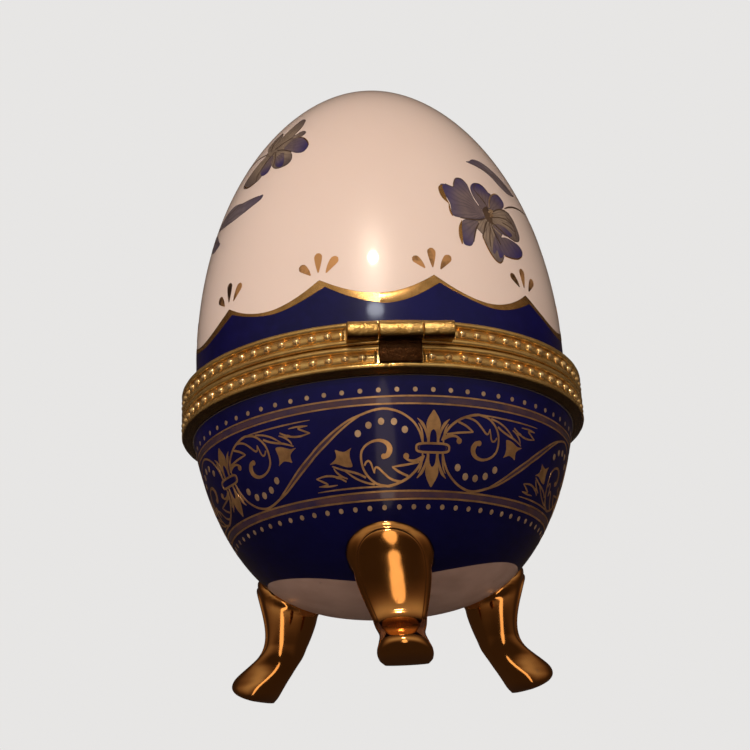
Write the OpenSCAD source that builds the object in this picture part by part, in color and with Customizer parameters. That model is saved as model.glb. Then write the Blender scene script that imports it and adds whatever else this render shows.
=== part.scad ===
// Egg-shaped porcelain trinket box on three legs, with a brass collar on each half,
// a three-knuckle hinge at the back (+Y) and a snap clasp at the front (-Y).
// Millimetres. Origin: on the table, under the egg's axis. +Z is up.

/* [Egg] */
// Height of the parting plane between the two collars above the table
parting_z = 45.2; // [45:0.1:46]
// Largest radius of the domed lid
dome_r = 31.58; // [31.4:0.02:31.6]
// Height of the lid's crown above the dome's widest level
dome_rise = 53.4; // [50:0.2:56]
// Height of the dome's widest level above the parting plane
dome_waist = 8.4; // [7:0.2:9]
// Radius of the bowl, carried up to the parting plane
bowl_r = 32.73; // [32.6:0.01:32.75]
// Depth of the bowl's underside below the parting plane
bowl_depth = 33.35; // [32.8:0.05:33.6]
// Thickness of the porcelain
wall = 2.8; // [2.4:0.1:3]

/* [Collars] */
// Outer radius of both brass collars, over their lips
collar_r = 34; // [34:0.05:34.2]
// Height of one collar, from the parting plane to its edge against the porcelain
collar_h = 4.4; // [4.2:0.05:4.6]
// Gap between the two collars
parting_gap = 0.24; // [0.2:0.02:0.3]
// Number of beads in one whole turn
bead_count = 82; // [72:1:86]
// Radius of one bead
bead_r = 0.62; // [0.5:0.02:0.65]

/* [Hinge] */
// Radius of the hinge barrel
knuckle_r = 1.38; // [1.3:0.02:1.44]
// Distance from the egg's axis to the hinge pin
hinge_y = 35.7; // [35.6:0.05:35.9]
// Height of the hinge pin above the parting plane
hinge_h = 1.3; // [1.2:0.05:1.5]
// Width of the middle knuckle
mid_knuckle_w = 6.5; // [6:0.1:7]
// Width of each outer knuckle
end_knuckle_w = 4.6; // [4:0.1:5]
// Radius of the hinge pin
pin_r = 0.55; // [0.5:0.01:0.6]

/* [Clasp] */
// Width of the clasp's tongue
tongue_w = 5.2; // [4.6:0.1:5.6]
// Thickness of the tongue
tongue_t = 0.8; // [0.7:0.05:0.9]

/* [Legs] */
// Angle of the leg nearest the hinge, counted from +X towards +Y
leg_angle = 83.8; // [80:0.2:100]
// Height of the knees' tops above the table
knee_top = 21.6; // [21.4:0.1:22]
// Half the width of a knee
knee_half_w = 7.15; // [6.8:0.05:7.3]
// How far a leg's sole stands to the side of its knee
leg_lean = 1.4; // [0:0.1:2]
// The same of the leg below the hinge
back_lean = 2.1; // [0:0.1:2.5]
// How far the sole of the leg below the hinge is drawn in towards the egg's axis
back_tuck = 5.2; // [0:0.1:5.5]
// How much lower the ankle of the leg below the hinge is, as a share of its height
back_squat = 0.2; // [0:0.05:0.25]

/* [Hidden] */
$fn = 96;
bead_fn = 32;
small_fn = 48;

BRASS = "#b08a3c";
GILT = "#c4862f";
COBALT = "#20267a";
PORCELAIN = "#f0e6dc";
CEMENT = "#cfc8b8";

// Shape numbers of the two porcelain shells.
dome_p = 2.1;                    // roundness of the dome upwards
dome_q = 1.822;                  // roundness of the dome outwards
bowl_p = 2.272;                  // roundness of the bowl downwards
bowl_q = 3.45;                   // roundness of the bowl outwards
bowl_taper = 0.1455;             // how fast the bowl narrows with depth
profile_step = 3;                // degrees between the points of a shell's outline
rim_h = 1.15;                    // distance of each porcelain rim from the parting plane

over = 1;                        // how far a cutting shape reaches past what it cuts

// The collars' section.
half_gap = parting_gap / 2;
flange_t = 0.88;                 // thickness of the flange under the porcelain rim
flange_in = 28.9;                // inner radius of the lid's flange
lip_r = 0.45;                    // radius of the rounded lips
lip_c = collar_r - lip_r;        // radius at which the lips are centred
low_lip_h = half_gap + lip_r;
high_lip_h = 3.37;
band_r = collar_r - 0.7;         // face of the recess that holds the beads
bead_h = (low_lip_h + high_lip_h) / 2;
bead_c = band_r + 0.2;           // radius at which the beads are centred
bead_phase = 71.6;               // angle of one bead
strip_t = 0.25;                  // thickness of the strip that carries the beads
strip_play = 0.01;               // play between the strip and the lips
span_cut = 6;                    // size of the block that cuts the strip off at a fitting
edge_r = collar_r - 1.5;         // outer radius of the edge
edge_slope = 0.1;                // how much higher the edge is on its inside
lid_collar_in = 31.75;           // inner radius of the lid's collar
base_collar_in = 32.8;           // inner radius of the base's collar at its flange
base_edge_in = 32.15;            // inner radius of the base's collar at its edge
upstand_r = 28.1;                // inner radius of the base collar's upstand
upstand_t = 0.5;                 // thickness of the upstand
upstand_h = 0.8;                 // how far the upstand stands above the parting plane

// The cement between the collars and the porcelain.
cement_foot = 1.9;               // distance of the base's cement from the inside of the upstand
cement_edge = 1;                 // width of the cement's ring at a collar's edge, before the porcelain is cut away
cement_step = 0.5;               // how far the cement reaches past a porcelain rim

// The hinge.
knuckle_gap = 0.15;              // gap between neighbouring knuckles
pin_play = 0.05;                 // radial play of the pin in the middle knuckle
end_knuckle_x = mid_knuckle_w / 2 + knuckle_gap;
hinge_half_w = end_knuckle_x + end_knuckle_w;
pin_over = 0.12;                 // how far the pin shows at each end
leaf_in = collar_r + 0.15;       // inner face of the leaf where it passes the lid's collar
leaf_out = collar_r + 0.8;       // outer face of the leaf
leaf_low = -3.1;                 // lower edge of the leaf, from the parting plane
strap_low = 0.3;                 // lower edge of an outer knuckle's strap
strap_high = 3.1;                // upper edge of an outer knuckle's strap
strap_in = collar_r - 2;         // where the straps start, inside the collar's wall
strap_over = 0.9;                // how far a strap's web reaches above the pin's axis
strip_margin = 0.2;              // how much wider the strips are cut than what covers them

// The clasp.
tongue_in = collar_r + 0.2;      // inner face of the tongue
tongue_top = 3.5;
solder_lap = 0.1;                // how far the tongue's seat reaches into the tongue
curl_h = -2.2;                   // height at which the tongue starts to curl outwards
curl_r = 1.43;                   // inner radius of the curl, which brings its end as far out as the hinge
curl_end_r = 0.65;               // radius of the rolled end
catch_half_w = 2.2;
catch_t = 0.45;                  // thickness of the catch's plate on the band
stud_r = 0.85;
stud_tip = collar_r + 0.1;
window_r = 1.1;                  // hole in the tongue over the stud

// A leg: [height above the table, distance from the egg's axis] of its outer and inner outlines.
LEG_OUTER = [
    [0, 26.2], [0.5, 27.7], [1.4, 29.5], [2.6, 30.5], [3.8, 30.25], [5.0, 28.6], [6.4, 25.7], [7.9, 23.8],
    [10, 22.9], [13, 23.0], [16.6, 24.0], [18.6, 24.8], [19.6, 24.85], [20.7, 24.45], [knee_top, 23.4]];
LEG_INNER = [
    [0, 24.5], [0.4, 23.8], [1.0, 23.0], [2.0, 22.0], [3.0, 20.95], [4.2, 19.75], [6.1, 18.3], [8.2, 17.35],
    [11, 16.2], [13.5, 15.5], [knee_top, 15.0]];
// Half the width of a leg against height, up to the knee's widest level.
LEG_HALF_W = [
    [0, 3.3], [0.7, 4.0], [2.0, 4.25], [3.4, 3.85], [4.6, 3.6], [5.8, 3.7], [7.2, 4.35], [10.2, 5.5],
    [13.9, 6.7], [16.8, knee_half_w]];
// How wide a leg's back is against height, as a share of its widest.
LEG_BACK = [[0, 0.95], [4, 0.93], [10, 0.76], [knee_top, 0.74]];
knee_wide_z = 16.8;              // height of the knee's widest level
knee_arch = 2.6;                 // roundness of the knee's top: 2 is an ellipse, more is squarer
knee_flat = 0.004;               // share of the knee's arch that is left at its very top
leg_roundness = 2.8;             // roundness of a leg's level section
leg_sides = 28;
leg_rings = 30;
ankle_z = 5.6;
toe_step = 0.35;                 // share of the rings below the ankle
ring_ease = 1.5;                 // how much closer the rings get towards the knee's top

// Value at z on a smooth curve through the points [z, value], with slopes from their neighbours.
function slope(pts, i) =
    let (a = max(i - 1, 0), b = min(i + 1, len(pts) - 1)) (pts[b][1] - pts[a][1]) / (pts[b][0] - pts[a][0]);
function segment(pts, z, i = 0) = i >= len(pts) - 2 || z <= pts[i + 1][0] ? i : segment(pts, z, i + 1);
function smooth(pts, z) =
    let (i = segment(pts, z), w = pts[i + 1][0] - pts[i][0], t = (z - pts[i][0]) / w)
    pts[i][1] * (2 * pow(t, 3) - 3 * pow(t, 2) + 1) + pts[i + 1][1] * (3 * pow(t, 2) - 2 * pow(t, 3))
    + w * slope(pts, i) * (pow(t, 3) - 2 * pow(t, 2) + t) + w * slope(pts, i + 1) * (pow(t, 3) - pow(t, 2));

// Outline of the dome with its wall thinned by inset, from the rim to the crown: [radius, height].
function dome_point(t, inset, up) =
    [(dome_r - inset) * pow(cos(t), 2 / dome_q), dome_waist + up * (dome_rise - inset) * pow(sin(t), 2 / dome_p)];
function dome_rim_t(inset) = asin(pow((dome_waist - rim_h) / (dome_rise - inset), dome_p / 2));
function dome_outline(inset) = concat(
    [for (i = [0:4]) dome_point(dome_rim_t(inset) * (1 - i / 4), inset, -1)],
    [for (t = [profile_step:profile_step:90]) t < 90 ? dome_point(t, inset, 1) : [0, dome_waist + dome_rise - inset]]);

// Outline of the bowl with its wall thinned by inset, from the rim to the bottom.
function bowl_point(t, inset) =
    let (d = (bowl_depth - inset) * pow(sin(t), 2 / bowl_p))
    [(bowl_r - inset - bowl_taper * d) * pow(cos(t), 2 / bowl_q), -d];
function bowl_rim_t(inset) = asin(pow(rim_h / (bowl_depth - inset), bowl_p / 2));
function bowl_outline(inset) =
    let (t0 = bowl_rim_t(inset), n = floor(90 / profile_step))
    [for (i = [0:n]) i < n ? bowl_point(t0 + (90 - t0) * i / n, inset) : [0, -bowl_depth + inset]];

function reversed(list) = [for (i = [len(list) - 1:-1:0]) list[i]];

module dome_section() {
    polygon(concat(dome_outline(0), reversed(dome_outline(wall))));
}

module bowl_section() {
    polygon(concat(bowl_outline(0), reversed(bowl_outline(wall))));
}

// Section of a collar above the parting plane. flange is its inner radius, root the inner radius of its wall
// at the flange, and edge that at its edge.
module collar_section(flange, root, edge) {
    polygon([
        [flange, half_gap], [lip_c, half_gap], [lip_c, low_lip_h], [band_r, low_lip_h], [band_r, high_lip_h],
        [lip_c, high_lip_h], [lip_c, high_lip_h + lip_r], [edge_r, collar_h - edge_slope], [edge, collar_h],
        [root, half_gap + flange_t], [flange, half_gap + flange_t]]);
    for (h = [low_lip_h, high_lip_h]) translate([lip_c, h]) circle(r = lip_r);
}

module lid_collar_section() {
    collar_section(flange_in, lid_collar_in, lid_collar_in);
}

module base_collar_section() {
    mirror([0, 1]) collar_section(upstand_r, base_collar_in, base_edge_in);
    translate([upstand_r, -half_gap - flange_t]) square([upstand_t, half_gap + flange_t + upstand_h]);
}

// Filled form of the bowl's outside, which the legs are cut to.
module bowl_outside() {
    translate([0, 0, parting_z]) rotate_extrude()
        polygon(concat([[0, -rim_h]], bowl_outline(0)));
}

module at_parting() {
    translate([0, 0, parting_z]) children();
}

// Strip with a row of beads. open_spans lists [centre angle, half width] of the stretches left out for the fittings.
module bead_strip(open_spans) {
    difference() {
        union() {
            rotate_extrude() translate([band_r, low_lip_h + lip_r + strip_play])
                square([strip_t, high_lip_h - low_lip_h - 2 * (lip_r + strip_play)]);
            for (i = [0:bead_count - 1])
                let (a = bead_phase + i * 360 / bead_count)
                if (!under_fitting(a, open_spans))
                    rotate(a) translate([bead_c, 0, bead_h]) sphere(r = bead_r, $fn = bead_fn);
        }
        translate([0, 0, -over]) cylinder(r = band_r, h = collar_h + over);
        for (s = open_spans) rotate(s[0]) translate([collar_r, 0, bead_h])
            cube([span_cut, 2 * s[1], span_cut], center = true);
    }
}

// True when the bead at angle a would reach under one of the fittings.
function under_fitting(a, spans) =
    len([for (s = spans) if (cos(a - s[0]) > 0 && abs(bead_c * sin(a - s[0])) < s[1] + bead_r) s]) > 0;

module foot(angle, lean = leg_lean, tuck = 0, squat = 0) {
    function ring_z(i) =
        let (s = i / leg_rings, rest = 1 - (s - toe_step) / (1 - toe_step))
        s < toe_step ? ankle_z * s / toe_step : ankle_z + (knee_top - ankle_z) * (1 - pow(rest, ring_ease));
    function half_w(z) = z < knee_wide_z ? smooth(LEG_HALF_W, z)
        : let (rise = (z - knee_wide_z) / (knee_top - knee_wide_z))
            knee_half_w * pow(max(knee_flat, 1 - pow(rise, knee_arch)), 1 / knee_arch);
    function squarish(v) = sign(v) * pow(abs(v), 2 / leg_roundness);
    function ring(level) =
        let (low = 1 - level / knee_top, z = level * (1 + squat * low))
        let (o = smooth(LEG_OUTER, z) - tuck * low, n = smooth(LEG_INNER, z) - tuck * low)
        let (w = half_w(z), back = smooth(LEG_BACK, z))
        [for (k = [0:leg_sides - 1])
            let (a = 360 * (k + 0.5) / leg_sides, c = squarish(cos(a)), share = back + (1 - back) * (c + 1) / 2)
            [(o + n) / 2 + (o - n) / 2 * c, w * share * squarish(sin(a)) + lean * low, level]];
    points = [for (i = [0:leg_rings]) each ring(ring_z(i))];
    faces = concat(
        [[for (k = [0:leg_sides - 1]) k]],
        [for (i = [0:leg_rings - 1], k = [0:leg_sides - 1])
            let (a = i * leg_sides, b = (k + 1) % leg_sides)
            each [[a + k, a + k + leg_sides, a + b], [a + b, a + k + leg_sides, a + b + leg_sides]]],
        [[for (k = [leg_sides - 1:-1:0]) leg_rings * leg_sides + k]]);
    color(GILT) difference() {
        rotate(angle) polyhedron(points, faces, convexity = 4);
        bowl_outside();
    }
}

module base_bowl() {
    color(COBALT) at_parting() rotate_extrude() bowl_section();
}

module lid_dome() {
    color(PORCELAIN) at_parting() rotate_extrude() dome_section();
}

// The cement fills what is left between a collar and its porcelain.
module base_cement() {
    color(CEMENT) at_parting() rotate_extrude() difference() {
        polygon([[upstand_r + cement_foot, -half_gap - flange_t], [base_collar_in, -half_gap - flange_t],
            [base_edge_in, -collar_h], [base_edge_in - cement_edge, -collar_h],
            [upstand_r + cement_foot, -rim_h - cement_step]]);
        bowl_section();
    }
}

module lid_cement() {
    color(CEMENT) at_parting() rotate_extrude() difference() {
        polygon([[flange_in, half_gap + flange_t], [lid_collar_in, half_gap + flange_t], [lid_collar_in, collar_h],
            [lid_collar_in - cement_edge, collar_h], [flange_in, rim_h + cement_step]]);
        dome_section();
    }
}

module base_collar() {
    color(BRASS) at_parting() rotate_extrude() base_collar_section();
}

module lid_collar() {
    color(BRASS) at_parting() rotate_extrude() lid_collar_section();
}

module base_bead_strip() {
    color(BRASS) at_parting() mirror([0, 0, 1])
        bead_strip([[90, mid_knuckle_w / 2 + strip_margin], [-90, catch_half_w + strip_margin]]);
}

module lid_bead_strip() {
    color(BRASS) at_parting()
        bead_strip([[90, hinge_half_w + strip_margin], [-90, tongue_w / 2 + strip_margin]]);
}

// Solid cylinder along X from x0 to x1 on the hinge's axis.
module hinge_rod(x0, x1, r) {
    translate([x0, hinge_y, hinge_h]) rotate([0, 90, 0]) cylinder(r = r, h = x1 - x0, $fn = small_fn);
}

// Block between two corners given as [x, y, height].
module block(low, high) {
    translate(low) cube(high - low);
}

module base_hinge_leaf() {
    w = mid_knuckle_w / 2;
    color(BRASS) at_parting() difference() {
        union() {
            hinge_rod(-w, w, knuckle_r);
            block([-w, leaf_in, -half_gap], [w, leaf_out, hinge_h]);
            block([-w, strap_in, leaf_low], [w, leaf_out, -half_gap]);
        }
        hinge_rod(-w - over, w + over, pin_r + pin_play);
        rotate_extrude() base_collar_section();
        cylinder(r = band_r, h = 2 * collar_h, center = true);
    }
}

module lid_hinge_knuckle(x0) {
    x1 = x0 + end_knuckle_w;
    color(BRASS) at_parting() difference() {
        union() {
            hinge_rod(x0, x1, knuckle_r);
            block([x0, strap_in, strap_low], [x1, hinge_y, hinge_h + strap_over]);
            block([x0, strap_in, hinge_h], [x1, leaf_out, strap_high]);
        }
        hinge_rod(x0 - over, x1 + over, pin_r);
        rotate_extrude() lid_collar_section();
        translate([0, 0, -over]) cylinder(r = band_r, h = collar_h + over);
    }
}

module lid_hinge_knuckle_left() {
    lid_hinge_knuckle(end_knuckle_x);
}

module lid_hinge_knuckle_right() {
    lid_hinge_knuckle(-end_knuckle_x - end_knuckle_w);
}

module hinge_pin() {
    color(BRASS) at_parting() hinge_rod(-hinge_half_w - pin_over, hinge_half_w + pin_over, pin_r);
}

// Tongue with a rolled finger end, soldered into the lid collar's recess and hanging over the base collar.
module clasp_tongue() {
    curl_c = tongue_in + tongue_t + curl_r;
    curl_out = curl_r + tongue_t;
    end_h = curl_h - curl_r - tongue_t / 2;
    color(BRASS) at_parting() rotate([0, 0, -90]) difference() {
        union() {
            translate([0, tongue_w / 2, 0]) rotate([90, 0, 0]) linear_extrude(tongue_w) {
                translate([tongue_in, curl_h]) square([tongue_t, tongue_top - curl_h]);
                intersection() {
                    translate([curl_c, curl_h]) difference() {
                        circle(r = curl_out);
                        circle(r = curl_r);
                    }
                    translate([curl_c - curl_out, curl_h - curl_out]) square(curl_out);
                }
                translate([curl_c, end_h]) circle(r = curl_end_r);
            }
            block([strap_in, -tongue_w / 2, strap_low], [tongue_in + solder_lap, tongue_w / 2, tongue_top]);
        }
        translate([tongue_in - over, 0, -bead_h]) rotate([0, 90, 0])
            cylinder(r = window_r, h = tongue_t + 2 * over, $fn = small_fn);
        rotate_extrude() lid_collar_section();
        translate([0, 0, -over]) cylinder(r = band_r, h = collar_h + over);
    }
}

// Small plate in the base collar's recess with a rounded stud that the tongue's window snaps over.
module catch_stud() {
    color(BRASS) at_parting() rotate([0, 0, -90]) difference() {
        union() {
            intersection() {
                rotate_extrude() translate([band_r, -high_lip_h + lip_r + strip_play])
                    square([catch_t, high_lip_h - low_lip_h - 2 * (lip_r + strip_play)]);
                translate([collar_r, 0, -bead_h]) cube([span_cut, 2 * catch_half_w, span_cut], center = true);
            }
            translate([stud_tip - stud_r, 0, -bead_h]) sphere(r = stud_r, $fn = small_fn);
        }
        translate([0, 0, -collar_h]) cylinder(r = band_r, h = collar_h);
    }
}

base_bowl();
foot(leg_angle, back_lean, back_tuck, back_squat);  // foot_back
foot(leg_angle + 120);  // foot_front_left
foot(leg_angle + 240);  // foot_front_right
base_cement();
base_collar();
base_bead_strip();
base_hinge_leaf();
catch_stud();
lid_dome();
lid_cement();
lid_collar();
lid_bead_strip();
lid_hinge_knuckle_left();
lid_hinge_knuckle_right();
hinge_pin();
clasp_tongue();
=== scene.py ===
import math
import random

import bmesh
import bpy
from mathutils import Matrix, Vector
from mathutils.geometry import tessellate_polygon


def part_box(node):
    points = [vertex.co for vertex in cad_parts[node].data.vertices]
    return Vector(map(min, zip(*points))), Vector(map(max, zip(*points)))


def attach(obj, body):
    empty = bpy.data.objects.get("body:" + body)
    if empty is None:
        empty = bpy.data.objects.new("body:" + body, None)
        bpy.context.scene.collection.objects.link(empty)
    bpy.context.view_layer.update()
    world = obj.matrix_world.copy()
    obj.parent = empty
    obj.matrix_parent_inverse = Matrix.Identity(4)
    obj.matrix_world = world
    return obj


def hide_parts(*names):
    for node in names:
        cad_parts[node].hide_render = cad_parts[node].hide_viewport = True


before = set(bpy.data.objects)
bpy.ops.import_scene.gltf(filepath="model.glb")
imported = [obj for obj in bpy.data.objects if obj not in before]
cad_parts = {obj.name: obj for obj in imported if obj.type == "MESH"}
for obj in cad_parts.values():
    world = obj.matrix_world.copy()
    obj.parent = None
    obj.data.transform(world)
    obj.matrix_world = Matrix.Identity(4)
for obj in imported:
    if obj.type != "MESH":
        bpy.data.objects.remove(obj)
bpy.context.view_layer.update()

random.seed(7)
MM = 0.001

# ---------------------------------------------------------------- sizes, in millimetres
PIN_R = 0.55
KNUCKLE_R = 1.38
RING_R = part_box("lid_collar")[1].x / MM            # outer radius of the collars' lips
HALF_GAP = 0.12                                    # from the parting plane to each collar
PARTING_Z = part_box("lid_collar")[0].z / MM - HALF_GAP
CROWN_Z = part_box("lid_dome")[1].z / MM
KNEE_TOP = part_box("foot_back")[1].z / MM
BOWL_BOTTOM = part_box("base_bowl")[0].z / MM
HINGE_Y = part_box("hinge_pin")[1].y / MM - PIN_R
HINGE_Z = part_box("hinge_pin")[1].z / MM - PIN_R
WALL = 2.8                                         # thickness of the porcelain
RIM_H = 1.15                                       # from the parting plane to each porcelain rim
CAMERA_ANGLE = 84.8                                # the side the camera faces, from +X towards +Y


# ---------------------------------------------------------------- small maths
def lerp(a, b, t):
    return a + (b - a) * t


def clamp(v, low=0.0, high=1.0):
    return max(low, min(high, v))


def shares(n, last=1):
    """0 to 1 in n steps, or without the last if last is 0."""
    return [k / n for k in range(n + last)]


def catmull(p0, p1, p2, p3, t):
    """Point at t between p1 and p2 on a smooth curve, for tuples of any length."""
    return tuple(
        0.5 * (2 * b + (c - a) * t + (2 * a - 5 * b + 4 * c - d) * t * t + (3 * b - a - 3 * c + d) * t ** 3)
        for a, b, c, d in zip(p0, p1, p2, p3))


def smooth_line(points, steps=6, closed=False):
    """The points joined by a smooth curve, steps pieces between neighbours."""
    n = len(points)
    line = []
    for i in range(n if closed else n - 1):
        quad = [points[k % n if closed else clamp(k, 0, n - 1)] for k in range(i - 1, i + 3)]
        line += [catmull(*quad, s) for s in shares(steps, 0)]
    return line if closed else line + [tuple(points[-1])]


def table(points, x):
    """Value at x on a smooth curve through the rising points (x, value)."""
    i = 0
    while i < len(points) - 2 and x > points[i + 1][0]:
        i += 1
    (x0, y0), (x1, y1) = points[i], points[i + 1]

    def slope(k):
        a, b = points[max(k - 1, 0)], points[min(k + 1, len(points) - 1)]
        return (b[1] - a[1]) / (b[0] - a[0])

    w = x1 - x0
    t = clamp((x - x0) / w)
    return (y0 * (2 * t ** 3 - 3 * t * t + 1) + y1 * (3 * t * t - 2 * t ** 3)
            + w * slope(i) * (t ** 3 - 2 * t * t + t) + w * slope(i + 1) * (t ** 3 - t * t))


def place(r, angle, h):
    """Point in metres at radius r, record angle in degrees and height h above the parting plane."""
    a = math.radians(angle)
    return Vector((r * math.cos(a), r * math.sin(a), PARTING_Z + h)) * MM


def arc(cx, cy, r, start, end, steps=8):
    """Points (x, y) on a circle from angle start to end, in degrees."""
    turns = [math.radians(lerp(start, end, s)) for s in shares(steps)]
    return [(cx + r * math.cos(t), cy + r * math.sin(t)) for t in turns]


def wheel(x, y, z, r, sides):
    """Points in metres on a circle round a line along X."""
    return [Vector((x, b, c)) * MM for b, c in arc(y, z, r, 0, 360, sides)[:-1]]


# ---------------------------------------------------------------- the two skins
class Skin:
    """One porcelain half, by the CAD model's formula: an outline turned round the egg's axis. up is 1 for the
    dome and -1 for the bowl. An inset goes in from the outer face. Heights are from the parting plane."""

    def __init__(self, up, size, waist, rise, taper, p, q):
        self.up, self.size, self.waist, self.rise = up, size, waist, rise
        self.taper, self.p, self.q = taper, p, q

    def radius(self, h):
        share = clamp(abs(self.up * h - self.waist) / self.rise) ** self.p
        return (self.size - self.taper * self.up * h) * (1 - share) ** (1 / self.q)

    def slope(self, h):
        step = 0.05
        return (self.radius(h + step) - self.radius(h - step)) / (2 * step)

    def turn(self, h, inset=0.0):
        """Angle along the outline, in degrees from its waist, at a height."""
        off = self.up * h - self.waist
        share = clamp(abs(off) / (self.rise - inset)) ** (self.p / 2)
        return math.copysign(math.degrees(math.asin(share)), off)

    def at(self, turn, inset=0.0):
        """(radius, height) at an angle along the outline."""
        c, s = math.cos(math.radians(turn)), math.sin(math.radians(abs(turn)))
        along = self.waist + math.copysign((self.rise - inset) * s ** (2 / self.p), turn)
        return (self.size - inset - self.taper * along) * max(c, 0) ** (2 / self.q), self.up * along

    def point(self, side, height, lift=0.0):
        """Point in metres. side is in degrees from the camera's side, positive to its right, height in collar
        radii, and lift how far it stands off the glaze."""
        h = height * RING_R
        slope = self.slope(h)
        size = math.hypot(1, slope)
        return place(self.radius(h) + lift / size, CAMERA_ANGLE + side, h - lift * slope / size)


DOME_WAIST = 8.4
DOME = Skin(1, 31.58, DOME_WAIST, CROWN_Z - PARTING_Z - DOME_WAIST, 0.0, 2.1, 1.822)
BOWL = Skin(-1, 32.73, 0.0, 33.35, 0.1455, 2.272, 3.45)


# ---------------------------------------------------------------- mesh building
def smooth_except(mesh, crisp):
    """Smooth shading, with edges kept sharp where the faces turn by more than crisp degrees."""
    mesh.polygons.foreach_set("use_smooth", [True] * len(mesh.polygons))
    work = bmesh.new()
    work.from_mesh(mesh)
    bmesh.ops.recalc_face_normals(work, faces=work.faces)
    for edge in work.edges:
        edge.smooth = not (edge.is_manifold and edge.calc_face_angle(0) > math.radians(crisp))
    work.to_mesh(mesh)
    work.free()


class Builder:
    """Collects vertices, faces and material indices of one piece."""

    def __init__(self):
        self.verts, self.faces, self.indices = [], [], []

    def add(self, points):
        start = len(self.verts)
        self.verts += points
        return range(start, start + len(points))

    def face(self, corners, material=0):
        self.faces.append(tuple(corners))
        self.indices.append(material)

    def bridge(self, low, high, closed=True, material=0):
        """Quads between two rows of vertices. A row of one vertex is a pole."""
        n = max(len(low), len(high))
        for i in range(n if closed else n - 1):
            j = (i + 1) % n
            bottom = (low[0],) if len(low) == 1 else (low[i], low[j])
            self.face(bottom + ((high[0],) if len(high) == 1 else (high[j], high[i])), material)

    def loft(self, rows, closed=True, material=0, caps=False):
        """Quads from each row to the next. Caps are faces on the first and last rows."""
        for low, high in zip(rows, rows[1:]):
            self.bridge(low, high, closed, material)
        for end in (rows[0], rows[-1]) if caps else ():
            self.face(end, material)

    def finish(self, name, materials, body, slot, cad=(), crisp=180):
        """The piece as a mesh object that rides on a body and may stand for CAD nodes."""
        mesh = bpy.data.meshes.new(name)
        mesh.from_pydata(self.verts, [], self.faces)
        for m in materials:
            mesh.materials.append(m)
        mesh.polygons.foreach_set("material_index", self.indices)
        mesh.validate()
        smooth_except(mesh, crisp)
        obj = bpy.data.objects.new(name, mesh)
        bpy.context.scene.collection.objects.link(obj)
        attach(obj, body)
        if cad:
            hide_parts(*cad)
        return obj


# ---------------------------------------------------------------- materials
class Nodes:
    """Short names for building the node tree of a material or a world."""

    def __init__(self, owner, coords="Object"):
        owner.use_nodes = True
        self.owner, self.tree = owner, owner.node_tree
        self.coords = self.new("TexCoord").outputs[coords]

    def feed(self, socket, value):
        if isinstance(value, bpy.types.NodeSocket):
            self.tree.links.new(value, socket)
        else:
            socket.default_value = value

    def new(self, kind, *inputs, **settings):
        """Node with its settings made and its inputs linked or set, in order."""
        made = self.tree.nodes.new("ShaderNode" + kind)
        for name, value in settings.items():
            setattr(made, name, value)
        for socket, value in zip(made.inputs, inputs):
            self.feed(socket, value)
        return made

    def noise(self, size_mm, detail=3.0, rough=0.5):
        """Noise whose features are about size_mm across."""
        made = self.new("TexNoise", self.coords)
        for name, value in (("Scale", 0.5 / (size_mm * MM)), ("Detail", detail), ("Roughness", rough)):
            made.inputs[name].default_value = value
        return made.outputs["Fac"]

    def math(self, operation, *inputs):
        return self.new("Math", *inputs, operation=operation).outputs[0]

    def span(self, value, low, high, to_low=0.0, to_high=1.0, **settings):
        """value mapped from low..high to to_low..to_high, held at the ends."""
        return self.new("MapRange", value, low, high, to_low, to_high, **settings).outputs[0]

    def blend(self, factor, *colors):
        made = self.new("Mix", data_type="RGBA")
        self.feed(made.inputs["Factor"], factor)
        for name, color in zip("AB", colors):
            self.feed(made.inputs[name], color if isinstance(color, bpy.types.NodeSocket) else (*color, 1.0))
        return made.outputs["Result"]

    def radius(self):
        """Distance from the egg's axis, in metres."""
        flat = self.new("VectorMath", self.coords, (1, 1, 0), operation="MULTIPLY")
        return self.new("VectorMath", flat.outputs[0], operation="LENGTH").outputs["Value"]

    def height(self, axis="Z"):
        return self.new("SeparateXYZ", self.coords).outputs[axis]

    def facing_down(self):
        """1 where the surface faces down, 0 where it is upright or faces up."""
        normal = self.new("SeparateXYZ", self.new("TexCoord").outputs["Normal"])
        return self.span(normal.outputs["Z"], -0.9, -0.5, 1.0, 0.0)

    def bump(self, height, strength, distance_mm):
        made = self.new("Bump", strength, distance_mm * MM)
        self.feed(made.inputs["Height"], height)
        self.feed(self.tree.nodes["Principled BSDF"].inputs["Normal"], made.outputs[0])

    def set(self, **values):
        names = {"color": "Base Color", "metal": "Metallic", "rough": "Roughness", "coat": "Coat Weight",
                 "coat_rough": "Coat Roughness", "specular": "Specular IOR Level",
                  "subsurface": "Subsurface Weight",
                 "glow_radius": "Subsurface Radius", "glow_scale": "Subsurface Scale"}
        for key, value in values.items():
            self.feed(self.tree.nodes["Principled BSDF"].inputs[names[key]], value)
        return self.owner


def material(name):
    return Nodes(bpy.data.materials.new(name))


def white_glaze():
    n = material("white_glaze")
    tint = n.span(n.noise(22, 2), 0.35, 0.65)
    n.bump(n.noise(5, 2), 0.06, 0.3)
    return n.set(color=n.blend(tint, (0.79, 0.67, 0.62), (0.83, 0.715, 0.665)), rough=0.32, coat=0.9,
                 coat_rough=0.045, subsurface=0.08, glow_radius=(0.004, 0.003, 0.002), glow_scale=0.3)


def shaded_bare_porcelain():
    n = material("shaded_bare_porcelain")
    tint = n.span(n.noise(3, 5), 0.35, 0.7)
    specks = n.span(n.noise(0.7, 2), 0.70, 0.76)
    # Painted shade: these browns are far darker than the near-white of bare porcelain, for the underside in
    # shade.
    base = n.blend(tint, (0.36, 0.245, 0.205), (0.28, 0.185, 0.155))
    n.bump(n.noise(1.2, 4), 0.25, 0.12)
    return n.set(color=n.blend(specks, base, (0.22, 0.15, 0.13)), rough=0.5, coat=0.35, coat_rough=0.18)


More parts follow.
